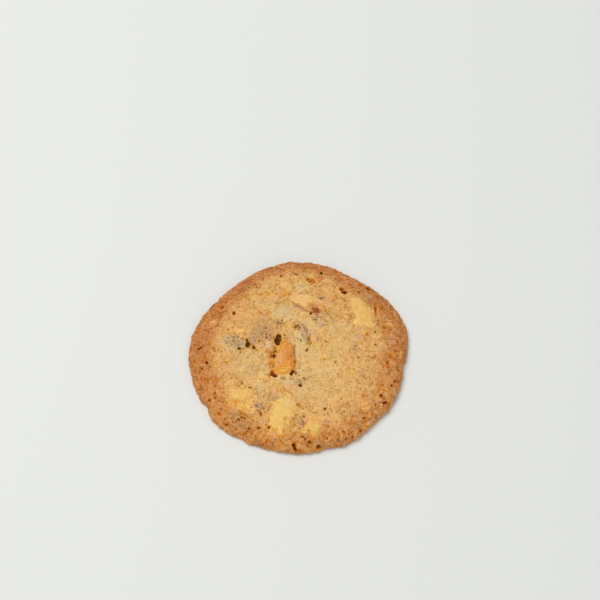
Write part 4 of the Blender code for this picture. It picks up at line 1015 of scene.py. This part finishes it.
def dough_relief(points, noises, on_top, under, depth):
    """How far the smooth dough's points move outwards: crumb, knobs, pits and dips."""
    coarse, crumb, grain = noises
    x, y = points[:, 0], points[:, 1]
    share = edge_share(x, y)
    rimward = smoothstep(*RIMWARD, share)
    smooth = spread(x, y, SMOOTH, PATCH_EDGE)
    broad, middling, fine = CRUMB_RELIEF
    relief = broad * coarse + (1 - SMOOTHING * smooth) * (middling * crumb + fine * grain)
    relief *= MM * (1 + RIM_ROUGHENING * rimward)
    relief += KNOBS * rimward * solid_noise(points, *KNOB_NOISE)
    relief += TEETH * smoothstep(*TEETH_FROM, share) * solid_noise(points, *TEETH_NOISE)
    relief -= on_top * depth

    # The dough dips under each chunk
    for outline in OUTLINES.values():
        away = chunk_share(outline, x, y) + DIP_RAGGEDNESS * crumb
        relief -= on_top * CHUNK_DIP * (1 - smoothstep(*DIP_EDGE, away))

    # The underside stays on the floor: its relief only hollows it
    broad, middling, fine = UNDER_RELIEF
    hollows = -MM * np.clip(UNDER_LEVEL + broad * coarse + middling * crumb + fine * grain, 0, 1)
    return under * hollows + (1 - under) * relief


def crust_masks(points, up, noises, marks_x, marks_y):
    """Where the crust is browned, browned deeper with painted shade at the rim's back, mottled, warm, smooth
    and ruddy.
    """
    x, y = points[:, 0], points[:, 1]
    share, angle = edge_share(x, y), np.arctan2(y, x)
    patchy = solid_noise(points, *PATCHY_NOISE)

    # Browning reaches further in at the sides and a little at the back
    side, back = np.cos(angle) ** 2, np.clip(np.sin(angle), 0, 1)
    start, full = (
        limit - at_side * side - at_back * back for limit, at_side, at_back in (BROWNED_FROM, BROWNED_TO)
    )
    ragged = share + BROWNED_RAGGEDNESS * patchy + BROWNED_GRAININESS * noises[0]
    browned = smoothstep(start, full, ragged)
    browned = np.maximum(browned, 1 - smoothstep(*OFF_SIDE, up))
    ruddy = np.maximum(browned, RUDDINESS * smoothstep(*RUDDY_FROM, share))
    ruddy = np.maximum(ruddy, spread(marks_x, marks_y, RUDDY, RUDDY_EDGE))
    off_pale = np.hypot(x - PALE_MIDDLE[0], y - PALE_MIDDLE[1]) / RADIUS
    mottled = smoothstep(*MOTTLED_FROM, np.cos(angle + MOTTLED_TURN))
    mottled = rising(MOTTLED_LEAST, 1 - MOTTLED_LEAST, mottled)
    return {
        "browned": browned,
        # darker towards the rim's back: deeper browning and painted shade
        "back_browning_and_shade": 0.5 + 0.5 * np.sin(angle - DARKEST_RIM_TURN),
        "mottled": mottled * browned,
        "warm": smoothstep(*WARM_FROM, off_pale + WARM_RAGGEDNESS * patchy),
        "smooth": spread(x, y, SMOOTH, PATCH_EDGE),
        "ruddy": ruddy * (1 - spread(marks_x, marks_y, UNRUDDY, UNRUDDY_EDGE)),
    }


def dough_piece():
    """The dough with its relief and masks, in place of the CAD's biscuit."""
    points = dough_points()
    biscuit = new_mesh_object("biscuit_dough", points, dough_faces())
    mesh = biscuit.data
    normals = point_normals(mesh)
    up = normals[:, 2]
    on_top, under = smoothstep(*ON_TOP, up), smoothstep(*UNDERNEATH, up)
    noises = crumb_noises(points)
    marks_x, marks_y = warped(points)
    pores = (*scattered_pores(), *scattered_specks(), *SPECKS)
    pore_darkness, pore_depth = pore_mask(points, marks_x, marks_y, pores)
    depth = np.maximum(pit_depth(marks_x, marks_y), pore_depth)

    moved = points + normals * dough_relief(points, noises, on_top, under, depth)[:, None]
    moved[:, 2] = np.maximum(moved[:, 2], 0)
    set_points(mesh, moved)

    for name, mask in crust_masks(points, up, noises, marks_x, marks_y).items():
        paint(mesh, name, mask)
    paint(mesh, "under", under)
    paint(mesh, "pit", pit_mask(points, marks_x, marks_y) * on_top)
    paint(mesh, "pore", pore_darkness * on_top)
    # Painted shade in the crumb's hollows and painted light on its tops
    paint(mesh, "shade_and_tone", crumb_shade_and_tone(noises))
    paint_tints(mesh, points, marks_x, marks_y, 1 - UNDERSIDE_FADE * under)
    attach(biscuit, "root")
    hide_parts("biscuit")
    return biscuit


# ---------------------------------------------------------------- the almond chunks


def chunk_points(outline, chunk):
    """A smooth chunk's points, ring by ring from its top down, and then the middle of its top.

    Each comes with its share of the outline's distance from the middle.
    """
    middle = outline.mean(axis=0)
    rise, depth = chunk.rise * MM, chunk.depth * MM
    points, shares = [], []
    for ring in range(1, CHUNK_TOP_RINGS + 1):
        share = (ring / CHUNK_TOP_RINGS) ** CHUNK_RING_POWER
        at = middle + share * (outline - middle)
        above = rise * (1 - (1 + CHUNK_SINK) * share**chunk.crisp)
        points.append(np.column_stack((at, top_height(*at.T) + above)))
        shares.append(np.full(CHUNK_POINTS, share))
    for share, level in CHUNK_SIDES:
        at = middle + share * (outline - middle)
        points.append(np.column_stack((at, top_height(*at.T) + depth * level)))
        shares.append(np.full(CHUNK_POINTS, 1.0))
    top = top_height(*middle[:, None])[0] + rise
    points = np.concatenate((*points, [(*middle, top)]))

    # Facets: each cuts the top down beyond its distance from the middle
    drop = np.zeros(len(points))
    for degrees, distance, slope in chunk.facets:
        turn = math.radians(degrees)
        beyond = (points[:, :2] - middle) @ (math.cos(turn), math.sin(turn)) - distance * MM
        drop = np.maximum(drop, slope * np.maximum(beyond, 0))
    drop[CHUNK_TOP_RINGS * CHUNK_POINTS : -1] = 0
    points[:, 2] -= drop
    return points, np.append(np.concatenate(shares), 0.0)


def chunk_faces():
    """A fan round the top's middle, bands between the rings, and one face underneath."""
    rings = CHUNK_TOP_RINGS + len(CHUNK_SIDES)
    starts = range(0, rings * CHUNK_POINTS, CHUNK_POINTS)
    middle = rings * CHUNK_POINTS
    faces = [(middle, k, (k + 1) % CHUNK_POINTS) for k in range(CHUNK_POINTS)]
    for start in starts[:-1]:
        faces += band_faces(start, start + CHUNK_POINTS, CHUNK_POINTS)
    faces.append(tuple(reversed(range(starts[-1], middle))))
    return faces


def chunk_piece(name, chunk):
    """An almond chunk with its relief and masks, in place of the CAD's one."""
    points, shares = chunk_points(OUTLINES[name], chunk)
    piece = new_mesh_object(f"{name}_fine", points, chunk_faces())
    mesh = piece.data
    normals = point_normals(mesh)
    broad, fine = (solid_noise(points, *spec) for spec in CHUNK_NOISES)
    relief = chunk.rough * MM * broad
    relief += FINE_ALMOND_RELIEF * chunk.rough * MM * fine
    set_points(mesh, points + normals * relief[:, None])

    marks_x, marks_y = warped(points)
    ragged = raggedness(points, DUSTING_NOISES, DUSTING_RAGGEDNESS)
    bare, fade = chunk.bare, chunk.fade
    dusted = smoothstep(bare - fade, bare + 0.5 * fade, shares + ragged)
    crusted = spread(marks_x, marks_y, CRUSTED, CRUST_EDGE, ragged)
    paint(mesh, "dusted", np.maximum(dusted, crusted) if bare < 1 else crusted)
    paint(mesh, "pit", pit_mask(points, marks_x, marks_y))
    paint(mesh, "pore", pore_mask(points, marks_x, marks_y, SPECKS)[0])
    paint(mesh, "ruddy", spread(marks_x, marks_y, RUDDY, RUDDY_EDGE))
    # Painted shade in the crumb's hollows and painted light on its tops
    paint(mesh, "shade_and_tone", crumb_shade_and_tone(crumb_noises(points)))
    paint_tints(mesh, points, marks_x, marks_y)
    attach(piece, "root")
    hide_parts(name)
    return piece


# ---------------------------------------------------------------- materials


def srgb(red, green, blue):
    """A colour as seen, 0 to 255, as the linear values that a shader takes."""
    def linear(value):
        value /= 255
        return value / 12.92 if value <= 0.04045 else ((value + 0.055) / 1.055) ** 2.4
    return (linear(red), linear(green), linear(blue), 1)


MIX_COLOUR_SOCKETS = (0, 6, 7)  # a Mix node's factor and colours
MIX_COLOUR_RESULT = 2


class Shader:
    """A material's node tree, with short calls for the nodes used here."""

    def __init__(self, name):
        self.material = bpy.data.materials.new(name)
        self.material.use_nodes = True
        self.nodes = self.material.node_tree.nodes
        self.links = self.material.node_tree.links
        self.bsdf = self.nodes["Principled BSDF"]
        self.place = self.nodes.new("ShaderNodeTexCoord").outputs["Object"]

    def feed(self, socket, value):
        if isinstance(value, bpy.types.NodeSocket):
            self.links.new(value, socket)
        else:
            socket.default_value = value

    def texture(self, kind, length, shift):
        """A texture with bumps or cells of this length in metres, moved aside by a shift."""
        node = self.nodes.new(kind)
        moved = self.nodes.new("ShaderNodeVectorMath")
        moved.operation = "ADD"
        self.links.new(self.place, moved.inputs[0])
        moved.inputs[1].default_value = shift
        self.links.new(moved.outputs[0], node.inputs["Vector"])
        node.inputs["Scale"].default_value = 1 / length
        return node

    def noise(self, length, offset, detail=2.0, roughness=0.6):
        """Noise from 0 to 1."""
        node = self.texture("ShaderNodeTexNoise", length, (offset, 2 * offset, -offset))
        node.inputs["Detail"].default_value = detail
        node.inputs["Roughness"].default_value = roughness
        return node.outputs["Fac"]

    def patches(self, length, offset, low, high, **kwargs):
        """Noise whose values from low to high are spread from 0 to 1."""
        return self.span(self.noise(length, offset, **kwargs), low, high)

    def dots(self, length, offset, edge, kept, channel, ragged=0.0):
        """Scattered dots: their edge in lengths, and the random colour from which each is kept."""
        cells = self.texture("ShaderNodeTexVoronoi", length, (offset, -offset, 3 * offset))
        away = self.math("ADD", cells.outputs["Distance"], ragged)
        split = self.nodes.new("ShaderNodeSeparateColor")
        self.links.new(cells.outputs["Color"], split.inputs[0])
        return self.times(self.span(away, *edge), self.span(split.outputs[channel], *kept))

    def mask(self, name):
        """A mask painted on the mesh."""
        node = self.nodes.new("ShaderNodeAttribute")
        node.attribute_name = name
        return node.outputs["Fac"]

    def math(self, operation, first, second):
        node = self.nodes.new("ShaderNodeMath")
        node.operation = operation
        self.feed(node.inputs[0], first)
        self.feed(node.inputs[1], second)
        return node.outputs[0]

    def times(self, first, *others):
        for other in others:
            first = self.math("MULTIPLY", first, other)
        return first

    def highest(self, first, *others):
        for other in others:
            first = self.math("MAXIMUM", first, other)
        return first

    def span(self, value, low, high, to_low=0.0, to_high=1.0):
        """Maps low..high smoothly to to_low..to_high."""
        node = self.nodes.new("ShaderNodeMapRange")
        node.interpolation_type = "SMOOTHSTEP"
        self.feed(node.inputs["Value"], value)
        for name, number in (("From Min", low), ("From Max", high), ("To Min", to_low), ("To Max", to_high)):
            node.inputs[name].default_value = number
        return node.outputs["Result"]

    def mix(self, share, first, second, blend="MIX"):
        node = self.nodes.new("ShaderNodeMix")
        node.data_type = "RGBA"
        node.blend_type = blend
        for socket, value in zip(MIX_COLOUR_SOCKETS, (share, first, second)):
            self.feed(node.inputs[socket], value)
        return node.outputs[MIX_COLOUR_RESULT]

    def multiply(self, first, second):
        return self.mix(1.0, first, second, "MULTIPLY")

    def finished(self, colour, roughness, specular, height, bump):
        """The material, with its colour, its gloss and a bump of this many metres."""
        node = self.nodes.new("ShaderNodeBump")
        node.inputs["Distance"].default_value = bump
        self.links.new(height, node.inputs["Height"])
        for name, value in (
            ("Base Color", colour),
            ("Roughness", roughness),
            ("Specular IOR Level", specular),
            ("Normal", node.outputs["Normal"]),
        ):
            self.feed(self.bsdf.inputs[name], value)
        return self.material


GOLD = srgb(220, 174, 107)
WARM = srgb(215, 163, 96)
RIM = srgb(210, 147, 79)
# The rim's back: browned deeper, with painted shade
RIM_BROWNED_AND_SHADED = srgb(187, 119, 62)
RUST = srgb(190, 110, 42)
ROSE = srgb(212, 159, 110)
# Pale sugar grains with their painted glints
GRAIN_GLINT = srgb(240, 206, 152)
BLOT = srgb(204, 130, 48)
UNDERSIDE = srgb(196, 134, 76)
CREAM = srgb(245, 198, 118)
CREAM_DEEP = srgb(238, 184, 100)
TOASTED = srgb(229, 162, 82)
TOASTED_DARK = srgb(226, 150, 60)

# A pit's colours from its shallow edge to its depth, each from and to a darkness: in the pale
# middle, in the browned rim, and in grey or lilac bits of skin. The dark is browned crust with
# painted shade in the hollow
PIT_COLOURS = (
    (0.06, 0.34, srgb(204, 144, 48), srgb(202, 116, 36), srgb(160, 132, 84)),
    (0.40, 0.66, srgb(138, 86, 16), srgb(148, 72, 14), srgb(112, 84, 40)),
    (0.62, 0.92, srgb(94, 54, 0), srgb(100, 36, 0), srgb(70, 52, 18)),
)

# What a colour is multiplied by, in each place. DEEPER to SKIN_LIGHTER give the crumb's hollows
# painted shade and its tops painted light
PORE_SHADE, RIM_PORE_SHADE = (0.36, 0.23, 0.06, 1), (0.52, 0.26, 0.08, 1)
SKIN_PORE_SHADE = (0.29, 0.22, 0.15, 1)
DEEPER, LIGHTER = (0.76, 0.62, 0.38, 1), (1.20, 1.25, 1.37, 1)
RIM_DEEPER, RIM_LIGHTER = (0.60, 0.42, 0.22, 1), (1.28, 1.36, 1.50, 1)
SKIN_DEEPER, SKIN_LIGHTER = (0.68, 0.59, 0.48, 1), (1.20, 1.22, 1.18, 1)
ALMOND_DEEPER, ALMOND_LIGHTER = (0.84, 0.80, 0.70, 1), (1.06, 1.07, 1.12, 1)
TOASTED_DEEPER, TOASTED_LIGHTER = (0.78, 0.62, 0.44, 1), (1.10, 1.16, 1.24, 1)
GOLDEN, CREAMY = (1.04, 1.015, 0.86, 1), (0.97, 0.985, 1.13, 1)
PEACH, LEAFY = (1.03, 0.97, 0.99, 1), (0.98, 1.025, 1.0, 1)

# Drifts and spots of colour: length and offset of their noise, and the values spread from 0 to 1
GOLDEN_DRIFTS = (1.8 * MM, 2.3, 0.32, 0.68)
PEACH_DRIFTS = (3.6 * MM, 6.9, 0.32, 0.68)
RUST_SPOTS = (1.7 * MM, 4.1, 0.48, 0.62)
ROSE_SPOTS = (2.6 * MM, 5.7, 0.50, 0.64)
ALMOND_DRIFTS = (1.8 * MM, 0.4, 0.35, 0.7)

# Dots: length, offset, edge in lengths, the random values between which they are kept, their channel
DARK_SPECKS = (0.9 * MM, 1.7, (0.30, 0.10), (0.55, 0.60), 0)
BLOTS = (1.9 * MM, 5.3, (0.40, 0.16), (0.74, 0.78), 0)
# pale sugar grains with their painted glints
GRAIN_GLINTS = (0.7 * MM, 3.1, (0.30, 0.10), (0.70, 0.75), 1)

# Noises in the shader: length and offset
ROUGH_NOISE = (3.2 * MM, 8.3)
BROAD_NOISE = (2.2 * MM, 0.3)
FINE_NOISE = (0.34 * MM, 1.1)
FLESH_NOISE = (0.5 * MM, 0.8)

# Spans: a low and a high value, and what they become
ROUGHENED = (0.34, 0.62, 0.65, 1.35)
SMOOTHED = (0, 1, 1.0, 0.35)
DARK_RIM_ROUGHENED = (0.3, 1.0, 1.0, 1.4)
BLOTS_IN_SMOOTH = (0, 1, 0.85, 0.1)

MIDDLE_TONE = 0.65  # of the crumb's light and dark
TONE_SPAN = (0.35, 0.85)
FLESH_SPAN = (0.25, 0.75)
SPECKED_FROM = (0.75, 1.2)  # how rough the crumb is where specks show
PAINTED_TONE, FINE_TONE, BROAD_TONE = 0.42, 0.72, 0.18  # what light and dark is made of
WARM_BAKED = 0.55  # how far the warm part of the top takes the browned crust's deeper and lighter crumb
SPECK_COVER, GRAIN_GLINT_COVER = 0.38, 0.55
BLOT_RAGGEDNESS = 0.5
MOTTLING = 0.62  # how far the rim's rust and rose spots cover it


def tinted(s, colour):
    """A colour under the painted tints."""
    for kind, (tint, _, _) in TINTS.items():
        colour = s.mix(s.mask(kind), colour, srgb(*tint))
    return colour


def pitted(s, colour):
    """Pores and pits painted over a colour, the pits' dark with painted shade: redder where the crust is
    browned.
    """
    skin = s.highest(s.mask("grey"), s.mask("lilac"))
    shade = s.mix(skin, s.mix(s.mask("browned"), PORE_SHADE, RIM_PORE_SHADE), SKIN_PORE_SHADE)
    colour = s.mix(s.mask("pore"), colour, s.multiply(colour, shade))
    for low, high, pale, browned, greyish in PIT_COLOURS:
        shade = s.mix(skin, s.mix(s.mask("ruddy"), pale, browned), greyish)
        colour = s.mix(s.span(s.mask("pit"), low, high), colour, shade)
    return colour


def mottled_hue(s, colour):
    """A colour with drifts of its hue, and the browned rim's spots of rust and rose."""
    colour = s.multiply(colour, s.mix(s.patches(*GOLDEN_DRIFTS), GOLDEN, CREAMY))
    colour = s.multiply(colour, s.mix(s.patches(*PEACH_DRIFTS), PEACH, LEAFY))
    uneven = s.math("SUBTRACT", 1.0, s.mask("smooth"))
    rust = s.times(s.patches(*RUST_SPOTS), s.mask("mottled"), uneven, MOTTLING)
    colour = s.mix(rust, colour, RUST)
    rose = s.times(s.patches(*ROSE_SPOTS, roughness=0.5), s.mask("mottled"), MOTTLING)
    return s.mix(rose, colour, ROSE)


def crumbed(s, colour, fine):
    """A colour with the crust's crumb: painted shade in hollows and light on tops, specks, blots and grain
    glints.
    """
    browned, smooth, warm = s.mask("browned"), s.mask("smooth"), s.mask("warm")
    colour = mottled_hue(s, colour)

    # How rough the crumb looks: less where it is smooth, more on the rim's darker, shaded back
    rough = s.span(s.noise(*ROUGH_NOISE), *ROUGHENED)
    rough = s.times(rough, s.span(smooth, *SMOOTHED))
    rough = s.times(rough, s.span(s.times(s.mask("back_browning_and_shade"), browned), *DARK_RIM_ROUGHENED))

    # The crumb's hollows get painted shade and its tops painted light, from its relief's noises
    shade_and_tone = s.math("ADD", s.times(s.mask("shade_and_tone"), PAINTED_TONE), s.times(fine, FINE_TONE))
    shade_and_tone = s.math("ADD", shade_and_tone, s.times(s.noise(*BROAD_NOISE, roughness=0.5), BROAD_TONE))
    shade_and_tone = s.math("ADD", s.times(s.math("SUBTRACT", shade_and_tone, MIDDLE_TONE), rough), MIDDLE_TONE)
    baked = s.highest(browned, s.times(warm, WARM_BAKED))
    skin = s.highest(s.mask("grey"), s.mask("lilac"), s.mask("tan"))
    deeper = s.mix(skin, s.mix(baked, DEEPER, RIM_DEEPER), SKIN_DEEPER)
    lighter = s.mix(skin, s.mix(baked, LIGHTER, RIM_LIGHTER), SKIN_LIGHTER)
    colour = s.multiply(colour, s.mix(s.span(shade_and_tone, *TONE_SPAN), deeper, lighter))

    speck = s.times(s.dots(*DARK_SPECKS), s.span(rough, *SPECKED_FROM), SPECK_COVER)
    colour = s.mix(speck, colour, s.multiply(colour, s.mix(browned, PORE_SHADE, RIM_PORE_SHADE)))
    ragged = s.times(s.math("SUBTRACT", fine, 0.5), BLOT_RAGGEDNESS)
    blot = s.dots(*BLOTS, ragged)
    blot = s.times(blot, s.times(warm, s.span(smooth, *BLOTS_IN_SMOOTH)))
    colour = s.mix(blot, colour, BLOT)
    # Pale sugar grains with their painted glints
    return s.mix(s.times(s.dots(*GRAIN_GLINTS), GRAIN_GLINT_COVER), colour, GRAIN_GLINT)


def fine_crumb(s):
    """The crust's finest relief, which also gives its hollows painted shade and its tops painted light."""
    return s.noise(*FINE_NOISE, detail=3, roughness=0.65)


def dough_material():
    s = Shader("baked_dough_fine")
    colour = s.mix(s.mask("warm"), GOLD, WARM)
    # The rim darkens towards its back with deeper browning and painted shade
    rim = s.mix(s.mask("back_browning_and_shade"), RIM, RIM_BROWNED_AND_SHADED)
    colour = s.mix(s.mask("browned"), colour, rim)
    colour = s.mix(s.mask("under"), colour, UNDERSIDE)
    fine = fine_crumb(s)
    colour = pitted(s, crumbed(s, tinted(s, colour), fine))
    return s.finished(colour, roughness=0.78, specular=0.14, height=fine, bump=0.12 * MM)


def almond_material(name, light, deep, deeper, lighter):
    """Bare almond, with the dough's crust over it where it is painted as dusted."""
    s = Shader(name)
    flesh = s.noise(*FLESH_NOISE, detail=3)
    colour = tinted(s, s.mix(s.patches(*ALMOND_DRIFTS, roughness=0.5), light, deep))
    colour = s.multiply(colour, s.mix(s.span(flesh, *FLESH_SPAN), deeper, lighter))
    crust = crumbed(s, tinted(s, WARM), fine_crumb(s))
    colour = pitted(s, s.mix(s.mask("dusted"), colour, crust))
    return s.finished(colour, roughness=0.55, specular=0.20, height=flesh, bump=0.06 * MM)


# ---------------------------------------------------------------- stage, light, camera

FLOOR_HALF = 1.5
FLOOR_LEVEL = -0.05 * MM  # just clear of the underside
FLOOR_COLOUR = srgb(230, 232, 229)
ROOM_LIGHT = 0.44
CAMERA_PITCH = 56.808  # degrees down from level
CAMERA_PLACE = (0.54 * MM, -324.63 * MM, 529.64 * MM)
CAMERA_LENS = 115.8  # millimetres, like the sensor
SENSOR_WIDTH = 36.0


def make_stage():
    corners = [(x * FLOOR_HALF, y * FLOOR_HALF, FLOOR_LEVEL) for x, y in ((-1, -1), (1, -1), (1, 1), (-1, 1))]
    mesh = bpy.data.meshes.new("floor")
    mesh.from_pydata(corners, [], [(0, 1, 2, 3)])
    floor = bpy.data.objects.new("floor", mesh)
    bpy.context.scene.collection.objects.link(floor)
    s = Shader("pale_floor")
    s.bsdf.inputs["Base Color"].default_value = FLOOR_COLOUR
    s.bsdf.inputs["Roughness"].default_value = 0.6
    mesh.materials.append(s.material)


def area_light(name, place, size, power):
    """A round white lamp that shines at the biscuit."""
    lamp = bpy.data.lights.new(name, "AREA")
    lamp.shape = "DISK"
    lamp.size = size
    lamp.energy = power
    thing = bpy.data.objects.new(name, lamp)
    thing.location = place
    thing.rotation_euler = (-Vector(place)).to_track_quat("-Z", "Y").to_euler()
    bpy.context.scene.collection.objects.link(thing)


def make_lights():
    world = bpy.data.worlds.new("soft_room")
    world.use_nodes = True
    world.node_tree.nodes["Background"].inputs["Color"].default_value = (1, 1, 1, 1)
    world.node_tree.nodes["Background"].inputs["Strength"].default_value = ROOM_LIGHT
    bpy.context.scene.world = world
    area_light("window", place=(-0.45, 0.35, 1.15), size=0.8, power=9.4)
    area_light("fill", place=(0.25, -1.10, 0.50), size=1.0, power=3.0)


def make_camera():
    camera = bpy.data.cameras.new("camera")
    camera.lens = CAMERA_LENS
    camera.sensor_width = SENSOR_WIDTH
    thing = bpy.data.objects.new("camera", camera)
    thing.location = CAMERA_PLACE
    thing.rotation_euler = (math.radians(90 - CAMERA_PITCH), 0, 0)
    bpy.context.scene.collection.objects.link(thing)
    bpy.context.scene.camera = thing
    bpy.context.scene.view_settings.view_transform = "Standard"


make_camera()
make_lights()
make_stage()
dough = dough_piece()
dough.data.materials.append(dough_material())
almonds = {
    "cream_almond": almond_material("cream_almond_fine", CREAM, CREAM_DEEP, ALMOND_DEEPER, ALMOND_LIGHTER),
    "toasted_almond": almond_material(
        "toasted_almond_fine", TOASTED, TOASTED_DARK, TOASTED_DEEPER, TOASTED_LIGHTER
    ),
}
for chunk_name, chunk_spec in CHUNKS.items():
    chunk_piece(chunk_name, chunk_spec).data.materials.append(almonds[chunk_spec.slot])

bpy.context.view_layer.update()
